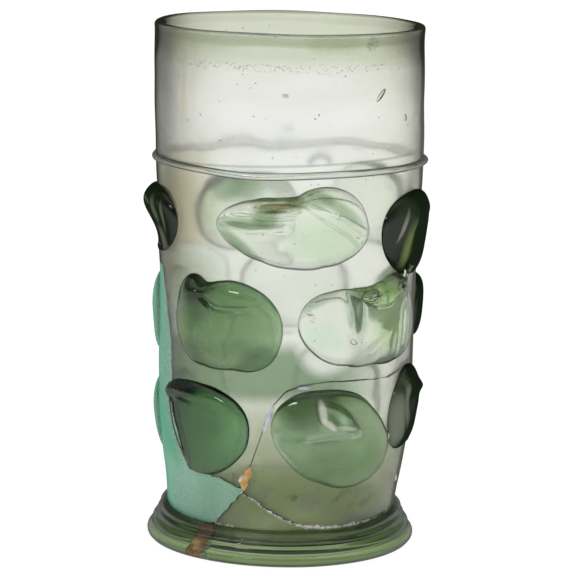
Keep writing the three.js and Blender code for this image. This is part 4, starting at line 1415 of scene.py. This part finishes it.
def curl_path():
    """The curl's stations, once round."""
    angle, height, wide, tall, stand = CURL
    path = []
    for i in range(CURL_STATIONS + 1):
        turn = math.tau * i / CURL_STATIONS
        across = angle + wide * math.cos(turn) / PER_DEGREE
        path.append((i / CURL_STATIONS, across, height + tall * math.sin(turn), stand, 1))
    return path


# Beads of glue or glass: finish, thickness, rings, and stations as share of the way, angle, height, stand
# off the wall and relative width.
BEADS = {
    "edge_glue": ("crust", 0.28, 40, [
        (0, -58.5, 54.6, 2.2, 0.8), (0.25, -54, 49.5, 3.9, 1), (0.5, -51, 41.5, 4.2, 0.8),
        (0.8, -48.6, 33.5, 3.0, 1.1), (1, -48.2, 27.8, 0.2, 1),
    ]),
    "drawn_string": ("drawn", 1.0, 24, [
        (0, 53.4, 87.8, 3.6, 1.5), (0.3, 56, 89, 3.2, 1.1), (0.6, 59.4, 91.2, 2.2, 0.9),
        (0.85, 60.6, 92.4, 2.0, 1.1), (1, 60.8, 94.4, 2.6, 1.6),
    ]),
    "glass_curl": ("drawn", 0.55, 36, curl_path()),
}


class BEAKER_OT_mend_breaks(bpy.types.Operator):
    """Add the adhesive, filler and flakes on the old breaks"""

    bl_idname = "beaker.mend_breaks"
    bl_label = "Old Mends"

    def execute(self, context):
        finishes = {
            "glue": (chalky("adhesive", (0.55, 0.26, 0.06), (0.66, 0.42, 0.17), 0.6, 0.4, 0.1), "adhesive"),
            "filler": (chalky("filler", (0.56, 0.57, 0.70), (0.78, 0.79, 0.84), 0.5, 0.55, 0.2), "filler"),
            "flakes": (chalky("dry_flakes", (0.93, 0.93, 0.88), (0.74, 0.73, 0.62), 0.4, 0.8, 0.3), "filler"),
            "crust": (chalky("dark_crust", (0.035, 0.028, 0.016), (0.16, 0.11, 0.06), 0.7, 0.5), "adhesive"),
            "drawn": (prunt_glass("drawn_glass", (0.10, 0.07, 0.10), *SKINS["soft"]), "prunt_glass"),
        }
        for name, (finish, replaced, *shape) in LUMPS.items():
            link(name, lump_mesh(*shape), *finishes[finish], *replaced)
        for name, (finish, stretches) in FLAKES.items():
            bm = bmesh.new()
            for stretch in stretches:
                scatter_flakes(bm, *stretch)
            link(name, bm, *finishes[finish])
        for name, (finish, thick, rings, path) in BEADS.items():
            link(name, bead_mesh(path, thick, rings), *finishes[finish])
        deposit = chalky("slot_deposit", (0.55, 0.50, 0.25), (0.28, 0.26, 0.11), 0.9, 0.3, 0.45)
        link("slot_deposit", deposit_mesh(), deposit, "filler")
        return {"FINISHED"}


# Brightness of the surroundings, from straight down to straight up.
SKY_BANDS = [(0.0, 1.0), (0.56, 0.95), (0.62, 0.45), (0.71, 0.16), (0.84, 0.22), (0.94, 0.9), (1.0, 1.0)]


def world_light(level):
    """Bright all round and above, dim in between, so that clear glass gets its dark edges."""
    world = bpy.data.worlds.new("studio")
    bpy.context.scene.world = world
    world.use_nodes = True
    studio = Nodes(world.node_tree)
    direction = studio.node("ShaderNodeTexCoord", {}, "Generated")
    up = studio.node("ShaderNodeSeparateXYZ", {0: direction}, "Z")
    ramp = studio.node("ShaderNodeValToRGB", {"Fac": studio.math("MULTIPLY_ADD", up, 0.5, 0.5)}, "Color")
    bands = ramp.socket.node.color_ramp
    bands.interpolation = "EASE"
    while len(bands.elements) < len(SKY_BANDS):
        bands.elements.new(0.5)
    for stop, (position, value) in zip(bands.elements, SKY_BANDS):
        stop.position = position
        stop.color = (value, value, value, 1)
    shade = studio.node("ShaderNodeBackground", {"Color": ramp, "Strength": level})
    studio.add("ShaderNodeOutputWorld", {"Surface": shade}, {})


def softbox(name, place, aim, size, power):
    """A square soft light that faces a point."""
    data = bpy.data.lights.new(name, "AREA")
    data.shape = "RECTANGLE"
    data.size = size[0]
    data.size_y = size[1]
    data.energy = power
    lamp = bpy.data.objects.new(name, data)
    bpy.context.scene.collection.objects.link(lamp)
    lamp.location = place
    lamp.rotation_euler = (Vector(aim) - Vector(place)).to_track_quat("-Z", "Y").to_euler()


class BEAKER_OT_set_stage(bpy.types.Operator):
    """Set the floor, the light and the camera"""

    bl_idname = "beaker.set_stage"
    bl_label = "Stage"

    def execute(self, context):
        scene = context.scene
        stage = scene.beaker_stage
        bm = bmesh.new()
        bmesh.ops.create_circle(bm, cap_ends=True, radius=4, segments=96)
        floor = bpy.data.objects.new("floor", new_mesh("floor", bm))
        floor.data.materials.append(floor_paper())
        scene.collection.objects.link(floor)
        world_light(stage.sky)
        softbox("window", (-0.62, -0.88, 0.85), (0, 0, 0.09), (0.42, 0.1), 2.2)
        data = bpy.data.cameras.new("camera")
        data.lens = stage.lens
        data.sensor_width = 36
        data.sensor_fit = "HORIZONTAL"
        data.shift_x = -0.0015
        camera = bpy.data.objects.new("camera", data)
        scene.collection.objects.link(camera)
        turn = Matrix.Rotation(math.pi / 2 - stage.pitch, 4, "X") @ Matrix.Rotation(stage.roll, 4, "Z")
        camera.matrix_world = Matrix.Translation((0, -stage.distance, stage.height)) @ turn
        scene.camera = camera
        scene.view_settings.view_transform = "Standard"
        scene.cycles.use_denoising = True
        scene.cycles.max_bounces = 32
        scene.cycles.transmission_bounces = 32
        scene.cycles.glossy_bounces = 16
        scene.cycles.transparent_max_bounces = 16
        scene.cycles.sample_clamp_indirect = 6
        scene.cycles.blur_glossy = 0.3
        return {"FINISHED"}


STEPS = (
    BEAKER_OT_set_stage,
    BEAKER_OT_blow_vessel,
    BEAKER_OT_cast_panel,
    BEAKER_OT_lay_prunts,
    BEAKER_OT_trail_threads,
    BEAKER_OT_mend_breaks,
)


class VIEW3D_PT_prunted_beaker(bpy.types.Panel):
    """Lists the beaker's steps and settings"""

    bl_label = "Prunted Beaker"
    bl_space_type = "VIEW_3D"
    bl_region_type = "UI"
    bl_category = "Beaker"

    def draw(self, context):
        column = self.layout.column()
        for step in STEPS:
            column.operator(step.bl_idname)
        for group in (context.scene.beaker_sizes, context.scene.beaker_looks, context.scene.beaker_stage):
            box = self.layout.box()
            for name in group.__annotations__:
                box.prop(group, name)


CLASSES = (BeakerSizes, BeakerLooks, StageSetup, *STEPS, VIEW3D_PT_prunted_beaker)


def register():
    for kind in CLASSES:
        bpy.utils.register_class(kind)
    bpy.types.Scene.beaker_sizes = PointerProperty(type=BeakerSizes)
    bpy.types.Scene.beaker_looks = PointerProperty(type=BeakerLooks)
    bpy.types.Scene.beaker_stage = PointerProperty(type=StageSetup)


def unregister():
    del bpy.types.Scene.beaker_sizes
    del bpy.types.Scene.beaker_looks
    del bpy.types.Scene.beaker_stage
    for kind in reversed(CLASSES):
        bpy.utils.unregister_class(kind)


def main():
    register()
    for step in STEPS:
        family, name = step.bl_idname.split(".")
        getattr(getattr(bpy.ops, family), name)()


if __name__ == "__main__":
    main()
